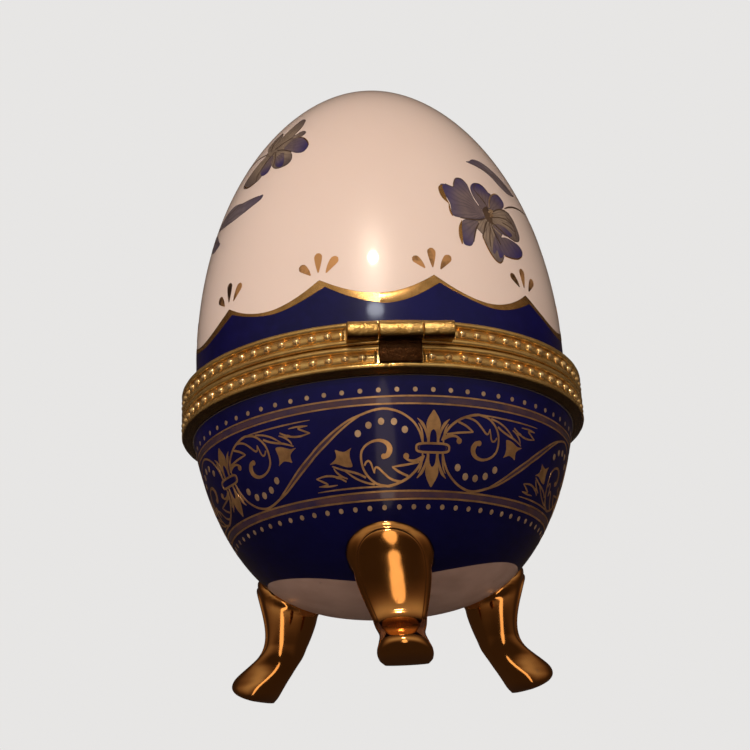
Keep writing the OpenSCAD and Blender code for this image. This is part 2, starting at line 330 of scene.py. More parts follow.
def cobalt_glaze():
    n = material("cobalt_glaze")
    cloud = n.span(n.noise(9, 4, 0.6), 0.3, 0.72)
    fine = n.span(n.noise(0.8, 3), 0.45, 0.8, 0.0, 0.35)
    base = n.blend(cloud, (0.0012, 0.0014, 0.036), (0.0030, 0.0034, 0.078))
    base = n.blend(fine, base, (0.005, 0.005, 0.09))
    # Painted shade: the cobalt darkens towards the bottom of the bowl, whose underside is in shade.
    low = n.span(n.height(), (PARTING_Z - 20) * MM, (PARTING_Z - 3) * MM, 0.60, 0.0)
    n.bump(n.noise(4, 2), 0.07, 0.3)
    return n.set(color=n.blend(low, base, (0.0012, 0.0011, 0.014)), rough=0.28, coat=0.40, coat_rough=0.09,
                 specular=0.12)


def gold_lustre():
    """Mirror gold over glaze: orange where it is thick, browner and rougher where it is thin or worn. Painted
    shade darkens the ankle of the leg below the hinge."""
    n = material("gold_lustre")
    thick = n.span(n.noise(6, 4, 0.6), 0.3, 0.7)
    worn = n.span(n.noise(1.1, 5, 0.7), 0.62, 0.72, 0.0, 0.6)
    # Painted shade: darkens the ankle of the back leg, the one under the hinge, and of no other leg.
    ankle = n.math("MULTIPLY", n.span(n.height(), 4.4 * MM, 5.2 * MM),
                   n.span(n.height(), 6.2 * MM, 7.2 * MM, 1.0, 0.0))
    ankle = n.math("MULTIPLY", ankle, n.span(n.height("Y"), 8 * MM, 9 * MM, 0.0, 0.88))
    wear = n.math("MAXIMUM", worn, n.span(n.height(), 0.0, 1.1 * MM, 0.75, 0.0))
    gold = n.blend(thick, (0.84, 0.40, 0.11), (0.70, 0.31, 0.085))
    gold = n.blend(ankle, gold, (0.16, 0.045, 0.012))
    n.bump(n.noise(3.5, 3), 0.10, 0.35)
    rough = n.span(wear, 0.0, 1.0, 0.10, 0.35)
    return n.set(color=n.blend(wear, gold, (0.42, 0.22, 0.11)), metal=1.0, rough=rough)


def antique_brass(name="antique_brass", shaded=False):
    """Cast and plated brass: bright on the lips, brown in the recess, and nearly black on its downward faces
    below the parting plane, which is painted shade. The shaded kind is pitted, with painted shade of dark
    red-brown under the hinge's barrel."""
    n = material(name)
    grain = n.span(n.noise(0.9, 5, 0.65), 0.3, 0.7)
    stains = n.span(n.noise(5, 4, 0.6), 0.42, 0.66, 0.0, 0.3)
    recess = n.span(n.radius(), (RING_R - 0.55) * MM, (RING_R - 0.12) * MM, 1.0, 0.0)
    dirt = n.math("MULTIPLY", recess, n.span(n.noise(1.6, 3), 0.35, 0.75, 0.0, 0.6))
    gold = n.blend(grain, (0.90, 0.55, 0.16), (0.98, 0.71, 0.28))
    color = n.blend(n.math("MAXIMUM", dirt, stains), gold, (0.38, 0.165, 0.040))
    # Painted shade: downward faces of brass more than 2 mm below the parting plane go nearly black, as
    # shadowed undersides.
    bottom = n.span(n.height(), (PARTING_Z - 3) * MM, (PARTING_Z - 2) * MM, 0.92, 0.0)
    color = n.blend(n.math("MULTIPLY", n.facing_down(), bottom), color, (0.030, 0.014, 0.008))
    if shaded:
        # Painted shade: below the middle of the hinge's barrel, the barrel and the leaf go dark red-brown.
        low, high = (HINGE_Z - 0.85 * KNUCKLE_R) * MM, (HINGE_Z - 0.5 * KNUCKLE_R) * MM
        below = n.span(n.height(), low, high, 0.97, 0.0)
        n.bump(n.noise(0.65, 4, 0.7), 1.0, 0.30)
        return n.set(color=n.blend(below, color, (0.030, 0.005, 0.002)), metal=1.0,
                     rough=n.span(grain, 0.0, 1.0, 0.31, 0.43))
    n.bump(n.noise(0.55, 4, 0.6), 0.34, 0.11)
    return n.set(color=color, metal=0.87, rough=n.span(grain, 0.0, 1.0, 0.15, 0.27))


def polished_brass():
    """The beads, worn bright by handling."""
    n = material("polished_brass")
    grain = n.span(n.noise(0.7, 4, 0.6), 0.3, 0.7)
    n.bump(n.noise(0.45, 3, 0.6), 0.25, 0.06)
    return n.set(color=n.blend(grain, (1.0, 0.76, 0.38), (0.86, 0.54, 0.20)), metal=0.9,
                 rough=n.span(grain, 0.0, 1.0, 0.12, 0.24))


def printed_gold(name, light, dark, rough, metal, blotch=1.3, edge=0.165):
    """Transfer-printed gold: thin, dull and a little broken up."""
    n = material(name)
    thin = n.span(n.noise(blotch, 4, 0.6), 0.515 - edge, 0.515 + edge)
    n.bump(n.noise(0.35, 3), 0.25, 0.04)
    return n.set(color=n.blend(thin, light, dark), metal=metal, rough=rough)


def brown_tint():
    """The thin brown wash between the printed double lines."""
    n = material("brown_tint")
    patchy = n.span(n.noise(1.8, 4, 0.6), 0.35, 0.7)
    return n.set(color=n.blend(patchy, (0.085, 0.040, 0.045), (0.020, 0.014, 0.060)), metal=0.25, rough=0.35,
                 coat=0.8, coat_rough=0.08)


def petal_paint(name, deep, pale, vein):
    """Painted petal: pale and veined towards its root, deep towards its rim, with a dark edge line. The
    channels of the mesh's paint say how far each point is from the root and the middle, and in which
    direction."""
    n = material(name)
    channels = n.new("SeparateColor", n.new("Attribute", attribute_name="paint").outputs["Color"])
    reach, rim, across = channels.outputs[:3]
    wobble = n.math("MULTIPLY", n.noise(1.5, 3), 0.35)
    depth = n.span(n.math("ADD", reach, wobble), 0.72, 1.18)
    waver = n.math("MULTIPLY", n.noise(1.2, 2), 7.0)
    streak = n.math("SINE", n.math("ADD", n.math("MULTIPLY", across, 260.0), waver))
    veins = n.math("MULTIPLY", n.span(streak, 0.0, 0.9, 0.0, 0.55), n.span(reach, 0.2, 1.1, 1.0, 0.3))
    wash = n.blend(n.span(n.noise(1.1, 4, 0.65), 0.3, 0.7, 0.0, 0.45), n.blend(depth, pale, deep), vein)
    edge = n.span(rim, 0.90, 0.99, 0.0, 0.8)
    return n.set(color=n.blend(edge, n.blend(veins, wash, vein), vein), rough=0.3, coat=0.7, coat_rough=0.06)


def cement():
    """Old cement, dark where it shows beside the collars: painted shade of the gap there, with some dirt."""
    n = material("cement")
    n.bump(n.noise(0.6, 4), 0.5, 0.2)
    return n.set(color=n.blend(n.noise(2), (0.045, 0.035, 0.030), (0.10, 0.080, 0.065)), rough=0.85)


WHITE, SHADED_BARE, COBALT, LUSTRE = white_glaze(), shaded_bare_porcelain(), cobalt_glaze(), gold_lustre()
BRASS, SHADED_HINGE_BRASS, BEAD_BRASS = antique_brass(), antique_brass("shaded_hinge_brass", True), polished_brass()
PRINT = printed_gold("printed_gold", (0.72, 0.43, 0.19), (0.40, 0.22, 0.10), 0.36, 0.85)
DOTS = printed_gold("pale_gold", (0.72, 0.52, 0.32), (0.42, 0.28, 0.17), 0.34, 0.75)
DROPS = printed_gold("worn_gilding", (0.62, 0.33, 0.13), (0.050, 0.026, 0.014), 0.30, 0.6, 2.6, 0.08)
GILDING = printed_gold("brushed_gilding", (0.80, 0.47, 0.17), (0.50, 0.28, 0.09), 0.24, 0.95)
INK = printed_gold("brown_ink", (0.060, 0.038, 0.030), (0.110, 0.070, 0.045), 0.35, 0.2)
TINT = brown_tint()
BLUE_PETAL = petal_paint("blue_petal", (0.022, 0.018, 0.15), (0.170, 0.130, 0.135), (0.040, 0.030, 0.055))
GREY_PETAL = petal_paint("grey_petal", (0.100, 0.078, 0.090), (0.30, 0.235, 0.18), (0.060, 0.042, 0.035))
LEAF = petal_paint("leaf_paint", (0.105, 0.085, 0.150), (0.195, 0.165, 0.185), (0.040, 0.030, 0.050))
SHADED_CEMENT = cement()


# ---------------------------------------------------------------- porcelain shells
SCALLOPS = 11
SCALLOP_PITCH = 360 / SCALLOPS
BLUE_CUSP, GOLD_CUSP = -14.6, -16.2                # side angles of one cusp of the blue and of its gold
# How far each scallop's blue dips below its cusps, and how tall its gold is there, in collar radii.
DIPS = [0.108, 0.090, 0.075, 0.095, 0.088, 0.100, 0.082, 0.098, 0.086, 0.070, 0.080]
GOLDS = [0.052, 0.020, 0.026, 0.034, 0.022, 0.040, 0.024, 0.030, 0.044, 0.030, 0.020]


def scallop(side, cusp, low, power):
    """(index of the scallop, how deep it is) at a side angle: 0 at its cusps, 1 at its lowest, a share low
    across."""
    turns = (side - cusp) / SCALLOP_PITCH
    u = turns - math.floor(turns)
    return int(math.floor(turns)) % SCALLOPS, 1 - abs((u - low) / (low if u < low else 1 - low)) ** power


def blue_edge(side):
    """Height of the blue border's scalloped edge, in collar radii."""
    i, depth = scallop(side, BLUE_CUSP, 0.53, 1.75)
    return 0.332 - DIPS[i] * depth


def gold_edge(side):
    """Height of the gold line's upper edge, in collar radii."""
    i, depth = scallop(side, GOLD_CUSP, 0.52, 1.9)
    return max(0.370 - (DIPS[i] + 0.038 - GOLDS[i]) * depth, blue_edge(side) + 0.010)


def dip_line(angle):
    """Height where the cobalt ends on the bowl's underside, in collar radii: the line of a hand-dipped
    glaze."""
    a = math.radians(angle)
    side = a - math.radians(CAMERA_ANGLE)
    swell = 0.094 * math.sin(side) ** 2 + 0.014 * math.sin(side)
    return -0.924 + swell + 0.004 * math.sin(3 * a + 0.7) + 0.0015 * math.sin(7 * a + 2.1)


def pole(angle):
    return 90


def shell(name, skin, stretches, body, slot, cad):
    """Closed shell of one half, from stretches of (shares, start, end, inset, glaze): rings at those shares
    of the way from one turn to another, each turn a function of the record angle. A glaze goes on after each
    of its rings."""
    build = Builder()
    angles = [360 * s for s in shares(396, 0)]
    rows, glazes = [], []
    for steps, start, end, inset, glaze in stretches:
        for s in steps:
            ring = [skin.at(lerp(start(a), end(a), s), inset) for a in angles]
            closed_up = ring[0][0] < 1e-6
            ring = ring[:1] if closed_up else ring
            rows.append(build.add([place(r, a, h) for a, (r, h) in zip(angles, ring)]))
            glazes.append(glaze)
    materials = list(dict.fromkeys(glazes))
    for low, high, glaze in zip(rows, rows[1:], glazes):
        build.bridge(low, high, True, materials.index(glaze))
    build.finish(name, materials, body, slot, [cad])


def make_dome():
    def edge(angle):
        return DOME.turn(blue_edge(angle - CAMERA_ANGLE) * RING_R)

    def rim(angle):
        return DOME.turn(RIM_H)

    def inner_rim(angle):
        return DOME.turn(RIM_H, WALL)

    shell("lid_dome_shell", DOME, [
        (shares(70, 0), pole, edge, 0.0, WHITE),
        (shares(10, 0), edge, rim, 0.0, COBALT),
        ([1], edge, rim, 0.0, SHADED_BARE),
        (shares(40), inner_rim, pole, WALL, WHITE),
    ], "lid", "white_porcelain", "lid_dome")


def make_bowl():
    def dip(angle):
        return BOWL.turn(dip_line(angle) * RING_R)

    def rim(angle):
        return BOWL.turn(-RIM_H)

    def inner_rim(angle):
        return BOWL.turn(-RIM_H, WALL)

    crowd = 1.7                                     # how much the rings crowd towards the poles' flat ends
    shell("bowl_shell", BOWL, [
        # The unglazed underside takes the bare porcelain, darkened by painted shade.
        ([s ** crowd for s in shares(18, 0)], pole, dip, 0.0, SHADED_BARE),
        (shares(70, 0), dip, rim, 0.0, COBALT),
        ([1], dip, rim, 0.0, SHADED_BARE),
        ([1 - (1 - s) ** crowd for s in shares(40)], inner_rim, pole, WALL, WHITE),
    ], "base", "cobalt_porcelain", "base_bowl")


# ---------------------------------------------------------------- raised decoration
class Brush:
    """Lays gilding and paint on a skin, as thin raised strokes and patches whose rims sink into the glaze.
    Widths and lifts are in millimetres, and places are (side, height)."""

    SINK = -0.04

    def __init__(self, skin):
        self.skin = skin
        self.build = Builder()
        self.paint = []

    def add(self, points, paint=(0.0, 0.0, 0.0)):
        """Vertices at (side, height, lift)."""
        self.paint += [paint] * len(points)
        return self.build.add([self.skin.point(*p) for p in points])

    def across(self, lift):
        """A stroke's section, as (share of the half width, lift)."""
        return (-1, self.SINK), (-0.9, lift), (0, lift), (0.9, lift), (1, self.SINK)

    def unit_side(self, height):
        """Degrees round the skin that make one millimetre."""
        return math.degrees(1 / self.skin.radius(height * RING_R))

    def millimetres(self, a, b):
        """Vector from a to b, in millimetres along the skin."""
        h = (a[1] + b[1]) / 2 * RING_R
        return (math.radians(b[0] - a[0]) * self.skin.radius(h),
                (b[1] - a[1]) * RING_R * math.hypot(1, self.skin.slope(h)))

    def stroke(self, points, width, lift=0.05, steps=6, material=0, taper=(1.0, 1.0)):
        """Line through points, each of which may state a width of its own."""
        line = smooth_line([(*p[:2], p[2] if len(p) > 2 else width) for p in points], steps)
        rows = []
        for i, (side, height, wide) in enumerate(line):
            dx, dy = self.millimetres(line[max(i - 1, 0)], line[min(i + 1, len(line) - 1)])
            share = i / (len(line) - 1)
            ends = lerp(taper[0], 1, clamp(share / 0.3)) * lerp(taper[1], 1, clamp((1 - share) / 0.3))
            half = max(wide, 0.05) / 2 * ends / (math.hypot(dx, dy) or 1.0)
            ox, oy = -dy * half * self.unit_side(height), dx * half / RING_R
            rows.append(self.add([(side + ox * k, height + oy * k, up) for k, up in self.across(lift)]))
        self.build.loft(rows, False, material, caps=True)

    def border(self, edges, sections, columns, material=0):
        """Line all the way round. edges(side) gives its lower and upper height."""
        rows = []
        for side in (360 * s for s in shares(columns, 0)):
            low, high = edges(side)
            rows.append(self.add([(side, lerp(low, high, s), up) for s, up in sections]))
        self.build.loft(rows + rows[:1], False, material)

    def ring_line(self, height, width, lift, material):
        def edges(side):
            middle = height + 0.0009 * math.sin(math.radians(side) * 5 + height * 90)
            return middle - width / 2 / RING_R, middle + width / 2 / RING_R

        self.border(edges, [((k + 1) / 2, up) for k, up in self.across(lift)], 240, material)

    def dot(self, side, height, radius, lift, material, stretch=1.0):
        wide, tall = radius * self.unit_side(height), radius * stretch / RING_R
        rings = [self.add([(side + wide * x, height + tall * y, up)
                           for x, y in arc(0, 0, s, 0, 360, 14)[:-1]])
                 for s, up in ((1.0, self.SINK), (0.93, lift), (0.45, lift))]
        self.build.loft(rings, True, material)
        self.build.face(rings[-1], material)

    def patch(self, outline, lift, material, steps=5, rings=5, root=None):
        """Filled smooth outline, built as rings round its middle. root is where a petal grows from: the
        paint's channels are the share of the way from the root to the far rim, nearness to the rim, and the
        direction."""
        line = smooth_line(outline, steps, closed=True)
        middle = tuple(sum(values) / len(line) for values in zip(*line))
        root = root or middle
        reach = max(math.hypot(*self.millimetres(root, p)) for p in line)

        def ring(points, share, up):
            made = []
            for p in points:
                p = [lerp(m, v, share) for m, v in zip(middle, p)]
                dx, dy = self.millimetres(root, p)
                paint = math.hypot(dx, dy) / reach, share, math.atan2(dy, dx) / math.tau + 0.5
                made += self.add([(*p, up)], paint)
            return made

        inner = [0.985] + [1 - k / (rings + 1) for k in range(2, rings + 1)]
        rows = [ring(line, 1, self.SINK)] + [ring(line, share, lift) for share in inner]
        self.build.loft(rows + [ring([middle], 0.0, lift)], True, material)

    def fill(self, outline, lift, material, steps=4):
        """Filled outline of any shape, cut into triangles."""
        line = smooth_line(outline, steps, closed=True)
        rim, top = ([self.add([(*p, up)])[0] for p in line] for up in (self.SINK, lift))
        for corners in tessellate_polygon([[Vector((math.radians(x), y, 0)) for x, y in line]]):
            self.build.face([top[k] for k in corners], material)
        self.build.bridge(rim, top, True, material)

    def finish(self, name, materials, body, slot, painted=False):
        obj = self.build.finish(name, materials, body, slot, crisp=25)
        if painted:
            layer = obj.data.color_attributes.new("paint", "FLOAT_COLOR", "POINT")
            layer.data.foreach_set("color", [v for paint in self.paint for v in (*paint, 1.0)])


def make_scallop_gilding():
    """The gold line along the border, and three drops over each cusp."""
    brush = Brush(DOME)

    def edges(side):
        return blue_edge(side) - 0.004, gold_edge(side)

    brush.border(edges, ((0, brush.SINK), (0.08, 0.03), (0.5, 0.04), (0.92, 0.03), (1, brush.SINK)), 720)
    for k in range(SCALLOPS):
        cusp = GOLD_CUSP - 0.2 + SCALLOP_PITCH * k
        for lean in (-1, 0, 1):
            # Each drop starts as a point near the cusp and ends in a round head.
            foot = (cusp + 2.3 * lean, 0.398 if lean else 0.405)
            head = (cusp + 4.9 * lean, 0.452 + 0.008 * lean if lean else 0.488)
            middle = (lerp(foot[0], head[0], 0.45), lerp(foot[1], head[1], 0.5))
            tip = (lerp(middle[0], head[0], 1.5), lerp(middle[1], head[1], 1.42))
            wide = 1.45 * random.uniform(0.92, 1.05)
            drop = [(*foot, 0.2), (*middle, wide * 0.72), (*head, wide), (*tip, wide * 0.35)]
            brush.stroke(drop, wide, 0.03, 7, 1)
    brush.finish("lid_scallop_gilding", [GILDING, DROPS], "lid", "gold_lustre")


# The printed band's motif: the part left of a fleur-de-lis at side FLEUR, as (side, height) points. A turned
# copy is the part right of it.
FLEUR = 14.3
RING_HEIGHT = -0.435
RING_HALF, RING_TALL = 5.0, 0.0185                 # half the ring's width in degrees, and half its height
REPEATS = 5
PRINTED, PALE, WASH = range(3)
# (points, width in mm, taper at start, taper at end): the double line, the volute that ends in a ball, the
# curl by the ring, the triangular leaf, the acanthus inside the volute and the leaves behind it
MOTIF_STROKES = [
    ([(11.2, -0.412), (10.3, -0.37), (8.6, -0.33), (6, -0.298), (3.3, -0.279), (0.3, -0.27), (-3, -0.276),
        (-6.3, -0.291)], 0.36, 1, 1),
    ([(-6, -0.289), (-9.6, -0.308), (-13.3, -0.338), (-17.3, -0.376), (-20.5, -0.409),
        (-21.75, -0.4235)], 0.32, 1, 1),
    ([(-6.5, -0.293), (-9.4, -0.318), (-12.8, -0.352), (-16.8, -0.396), (-20.5, -0.434),
        (-21.75, -0.4475)], 0.3, 1, 1),
    ([(11.6, -0.466), (10.7, -0.498), (9, -0.531), (6.4, -0.56), (3.2, -0.579), (0.6, -0.587)], 0.4, 1, 1),
    ([(0.6, -0.587), (-2.6, -0.577), (-5, -0.552), (-6.6, -0.517), (-7.1, -0.48), (-6.9, -0.447),
        (-5.9, -0.424), (-4.2, -0.408), (-2.2, -0.401, 0.42), (-0.3, -0.405, 0.55), (1.1, -0.42, 0.75),
        (1.5, -0.441, 0.9), (0.8, -0.462, 0.8), (-0.3, -0.468, 0.7)], 0.36, 1, 1),
    ([(11.2, -0.478, 0.75), (9.2, -0.487, 0.45), (7.4, -0.487, 0.36), (6.3, -0.478, 0.4)], 0.4, 1, 1),
    ([(10.3, -0.493), (6.6, -0.503), (2, -0.511)], 0.34, 1, 0.5),
    ([(2, -0.511), (4.3, -0.533), (6.9, -0.549)], 0.36, 0.5, 1),
    ([(-6.3, -0.5), (-5.7, -0.486), (-4.9, -0.482), (-4.3, -0.492), (-3.9, -0.512),
        (-3.5, -0.533)], 0.3, 1, 0.6),
    ([(-3.5, -0.533), (-3.1, -0.512), (-2.2, -0.512), (-0.6, -0.534), (1.2, -0.556), (3.2, -0.567),
        (4.8, -0.57)], 0.34, 0.6, 1),
    ([(-16.2, -0.489), (-13.2, -0.508), (-10.4, -0.52), (-8, -0.533), (-6.2, -0.548)], 0.34, 0.6, 1),
    ([(-15.8, -0.497), (-15.1, -0.515), (-13.6, -0.534), (-11.9, -0.546)], 0.3, 0.5, 0.6),
    ([(-22, -0.531), (-19, -0.525), (-16.4, -0.529), (-14.2, -0.541), (-12.4, -0.557)], 0.32, 0.5, 0.8),
    ([(-22, -0.531), (-20.2, -0.544), (-18.6, -0.56), (-21.6, -0.563)], 0.3, 0.5, 0.5),
    ([(-21.4, -0.563), (-18.4, -0.567), (-15.4, -0.566)], 0.26, 0.6, 0.4),
    ([(-12.6, -0.512), (-9.6, -0.545), (-6.6, -0.566), (-3.6, -0.577)], 0.3, 0.6, 1),
    ([(-22.5, -0.585), (-14, -0.585), (-6, -0.586), (2, -0.588)], 0.26, 0.4, 0.6),
]
# the bud and a spot in the leaves
MOTIF_FILLS = [
    [(-14.6, -0.424), (-13.4, -0.431), (-12, -0.436), (-10.8, -0.43), (-9.7, -0.423), (-10.2, -0.437),
        (-10.4, -0.46), (-10.1, -0.48), (-10, -0.5), (-11.8, -0.499), (-13.4, -0.49), (-15, -0.481),
        (-16.8, -0.481), (-15.4, -0.468), (-14.6, -0.456), (-14.5, -0.44)],
    [(-15.8, -0.536), (-14.6, -0.53), (-13.6, -0.538), (-14.8, -0.543)],
]
MOTIF_DOTS = [(6, -0.36), (3, -0.326), (-0.6, -0.323), (-4.2, -0.336), (-7.4, -0.367)]
MOTIF_WASH = [(-7.5, -0.301), (-12.6, -0.342), (-17.0, -0.386), (-21.8, -0.436)]
# Upper half of the fleur-de-lis, from its middle: the petal with its almond gap, a side petal and a stem.
FLEUR_PETAL = [(0, -0.277), (0.8, -0.292), (1.6, -0.312), (2.1, -0.336), (1.9, -0.36), (1.75, -0.385),
    (1.8, -0.412), (1.1, -0.412), (1, -0.388), (0.7, -0.368), (0, -0.358), (-0.7, -0.368), (-1, -0.388),
    (-1.1, -0.412), (-1.8, -0.412), (-1.75, -0.385), (-1.9, -0.36), (-2.1, -0.336), (-1.6, -0.312),
    (-0.8, -0.292)]
FLEUR_SIDE = [(1.35, -0.414, 0.26), (1.9, -0.38, 0.34), (2.6, -0.352, 0.46), (3.6, -0.329, 0.5),
    (4.7, -0.313, 0.34)]
FLEUR_STEM = [(3.1, -0.412, 0.26), (3.15, -0.385, 0.26), (3.6, -0.355, 0.28), (4.4, -0.333, 0.24)]


def print_motif(brush, at):
    """The motif at the place to which at() moves a point."""
    for points, width, *taper in MOTIF_STROKES:
        brush.stroke([at(p) for p in points], width, 0.018, 5, PRINTED, taper)
    for outline in MOTIF_FILLS:
        brush.patch([at(p) for p in outline], 0.03, PRINTED)
    brush.dot(*at((-0.35, -0.467)), 0.42, 0.022, PRINTED)
    brush.dot(*at((6.3, -0.469)), 0.46, 0.022, PRINTED)
    for p in MOTIF_DOTS:
        brush.dot(*at(p), 0.50, 0.02, PALE, 1.08)
    brush.stroke([at(p) for p in MOTIF_WASH], 0.55, 0.008, 5, WASH, (0.3, 1.0))
    brush.fill([at((FLEUR + x, y)) for x, y in FLEUR_PETAL], 0.032, PRINTED)
    for flip in (-1, 1):
        for spine, width, lift, tip in ((FLEUR_SIDE, 0.4, 0.022, 0.3), (FLEUR_STEM, 0.26, 0.018, 0.4)):
            points = [at((FLEUR + flip * x, y, wide)) for x, y, wide in spine]
            brush.stroke(points, width, lift, 5, PRINTED, (1, tip))


def print_ring(brush, side):
    """The ring that ties a fleur-de-lis."""
    loop = []
    for t in (math.tau * s for s in shares(32)):
        x, y = math.cos(t), math.sin(t)
        loop.append((math.copysign(min(abs(x) ** 0.45, 1) * RING_HALF, x),
                     math.copysign(abs(y) ** 0.6 * RING_TALL, y)))
    brush.stroke([(side + x, RING_HEIGHT + y) for x, y in loop], 0.36, 0.026, 2, PRINTED)
    brush.fill([(side + x * 0.86, RING_HEIGHT + y * 0.75) for x, y in loop[:-1:2]], 0.009, WASH, 2)


def make_band():
    """The printed gold band round the bowl."""
    brush = Brush(BOWL)
    for height in (-0.218, -0.2505, -0.607, -0.6375):
        brush.ring_line(height, 0.27, 0.018, PRINTED)
    for height, width in ((-0.234, 0.90), (-0.622, 0.86)):
        brush.ring_line(height, width, 0.008, WASH)
    for k in range(72):
        brush.dot(-0.9 + 5 * k, -0.190, 0.38, 0.02, PALE)
        brush.dot(-0.96 + 5 * k, -0.669, 0.37, 0.02, PALE)
    for k in range(REPEATS):
        turn = 360 / REPEATS * k
        print_motif(brush, lambda p, turn=turn: (p[0] + turn, *p[1:]))
        print_motif(brush, lambda p, turn=turn: (2 * FLEUR - p[0] + turn, 2 * RING_HEIGHT - p[1], *p[2:]))
        print_ring(brush, FLEUR + turn)
    brush.finish("base_printed_band", [PRINT, DOTS, TINT], "base", "antique_brass")


# ---------------------------------------------------------------- painted flowers
BLUE, GREY, GREEN, GOLD, DARK, SHINE = range(6)
BLOSSOM_HEART, BUD_HEART = (38.0, 0.755), (-42.5, 1.250)
# (material, lift, outline) of each petal, from the lowest layer up
BLOSSOM_PETALS = [
    (GREY, 0.026, [(30.5, 0.69), (33.6, 0.64), (37.2, 0.59), (39.6, 0.6), (42.5, 0.65), (44, 0.7),
        (42.6, 0.77), (41.4, 0.83), (38.6, 0.83), (35.6, 0.8), (32.4, 0.73)]),
    (BLUE, 0.03, [(31.5, 0.7), (29.2, 0.695), (27.8, 0.68), (27.2, 0.64), (26.9, 0.59), (27, 0.552),
        (28.2, 0.543), (29.6, 0.548), (30.6, 0.572), (31.3, 0.612), (32.4, 0.655), (33.8, 0.695)]),
    (GREY, 0.034, [(38.3, 0.715), (36.4, 0.668), (34.2, 0.622), (34.9, 0.58), (36.3, 0.532), (37.8, 0.5),
        (39.2, 0.489), (40.7, 0.505), (41.9, 0.54), (41.2, 0.6), (40.2, 0.67), (39.4, 0.72)]),
    (BLUE, 0.04, [(39.2, 0.56), (38, 0.535), (37.3, 0.545), (38, 0.59), (39.4, 0.64), (40.6, 0.655),
        (41.6, 0.61), (42.2, 0.565), (41.2, 0.532), (39.8, 0.522)]),
    (BLUE, 0.045, [(39.6, 0.68), (41.4, 0.645), (44.2, 0.655), (48, 0.652), (50.8, 0.64), (51.9, 0.612),
        (50.6, 0.577), (47.2, 0.552), (43.4, 0.54), (41.4, 0.552), (40, 0.6)]),
    (GREY, 0.05, [(39, 0.725), (40.5, 0.78), (43.6, 0.815), (47, 0.832), (49.8, 0.826), (51.4, 0.8),
        (52.3, 0.755), (52.5, 0.705), (51.2, 0.668), (48.4, 0.655), (45, 0.668), (41.8, 0.69)]),
    (BLUE, 0.056, [(39.6, 0.7), (42.5, 0.722), (46, 0.712), (48.2, 0.69), (47, 0.672), (44.4, 0.664),
        (41.6, 0.676)]),
    (BLUE, 0.052, [(36.9, 0.775), (35.2, 0.815), (34.1, 0.855), (34, 0.9), (35.5, 0.933), (38, 0.949),
        (40.3, 0.938), (41.6, 0.912), (43, 0.903), (42.2, 0.87), (40.8, 0.83), (39.6, 0.795)]),
    (BLUE, 0.06, [(39.8, 0.795), (41.2, 0.845), (42.6, 0.885), (44.8, 0.913), (46.8, 0.923), (48.4, 0.908),
        (48.9, 0.88), (47.9, 0.85), (46, 0.828), (43, 0.808)]),
    (BLUE, 0.066, [(37.6, 0.748), (36, 0.785), (34.3, 0.83), (33.6, 0.875), (33.1, 0.918), (31.6, 0.943),
        (29.5, 0.944), (28, 0.922), (27.4, 0.893), (26.9, 0.877), (25.4, 0.885), (23.6, 0.889),
        (22.5, 0.882), (22.6, 0.855), (23.5, 0.815), (24.6, 0.77), (24.5, 0.722), (25, 0.7), (27.4, 0.696),
        (30.6, 0.7), (33.6, 0.708), (36.2, 0.724)]),
]
BUD_PETALS = [
    (GREY, 0.026, [(-47.5, 1.24), (-46, 1.17), (-42.5, 1.15), (-38, 1.16), (-33.5, 1.215), (-31.5, 1.28),
        (-34, 1.33), (-39, 1.33), (-44.5, 1.33), (-47.4, 1.29)]),
    (GREY, 0.03, [(-45.5, 1.27), (-43, 1.335), (-40.5, 1.385), (-38, 1.425), (-35, 1.455), (-32, 1.44),
        (-30.9, 1.4), (-31.6, 1.35), (-35, 1.3), (-40, 1.262)]),
    (GREY, 0.034, [(-47, 1.28), (-50, 1.33), (-48.5, 1.375), (-45, 1.405), (-42.6, 1.37), (-42.6, 1.32)]),
    (GREY, 0.038, [(-46, 1.25), (-51, 1.215), (-55, 1.15), (-55.5, 1.1), (-51, 1.062), (-46.5, 1.062),
        (-43.5, 1.085), (-42.6, 1.14), (-42.4, 1.2)]),
    (BLUE, 0.043, [(-42.6, 1.225), (-45, 1.18), (-45.4, 1.13), (-43.2, 1.09), (-40.4, 1.092), (-39.6, 1.13),
        (-40, 1.185)]),
    (GREY, 0.047, [(-40.6, 1.235), (-40.6, 1.17), (-38.4, 1.115), (-35, 1.088), (-31, 1.092), (-29.6, 1.125),
        (-31, 1.178), (-35, 1.218)]),
    (BLUE, 0.051, [(-38.6, 1.185), (-37.6, 1.13), (-35.4, 1.1), (-33.2, 1.1), (-33.6, 1.15), (-35.4, 1.2)]),
    (BLUE, 0.055, [(-36, 1.238), (-33.6, 1.265), (-30.2, 1.287), (-27.4, 1.265), (-24.8, 1.226),
        (-23.6, 1.19), (-24.4, 1.158), (-26, 1.148), (-28.6, 1.16), (-31.4, 1.185), (-34.4, 1.205)]),
    (GREY, 0.06, [(-34, 1.3), (-31.2, 1.325), (-28.6, 1.325), (-27, 1.303), (-28.4, 1.282), (-31.4, 1.28)]),
]
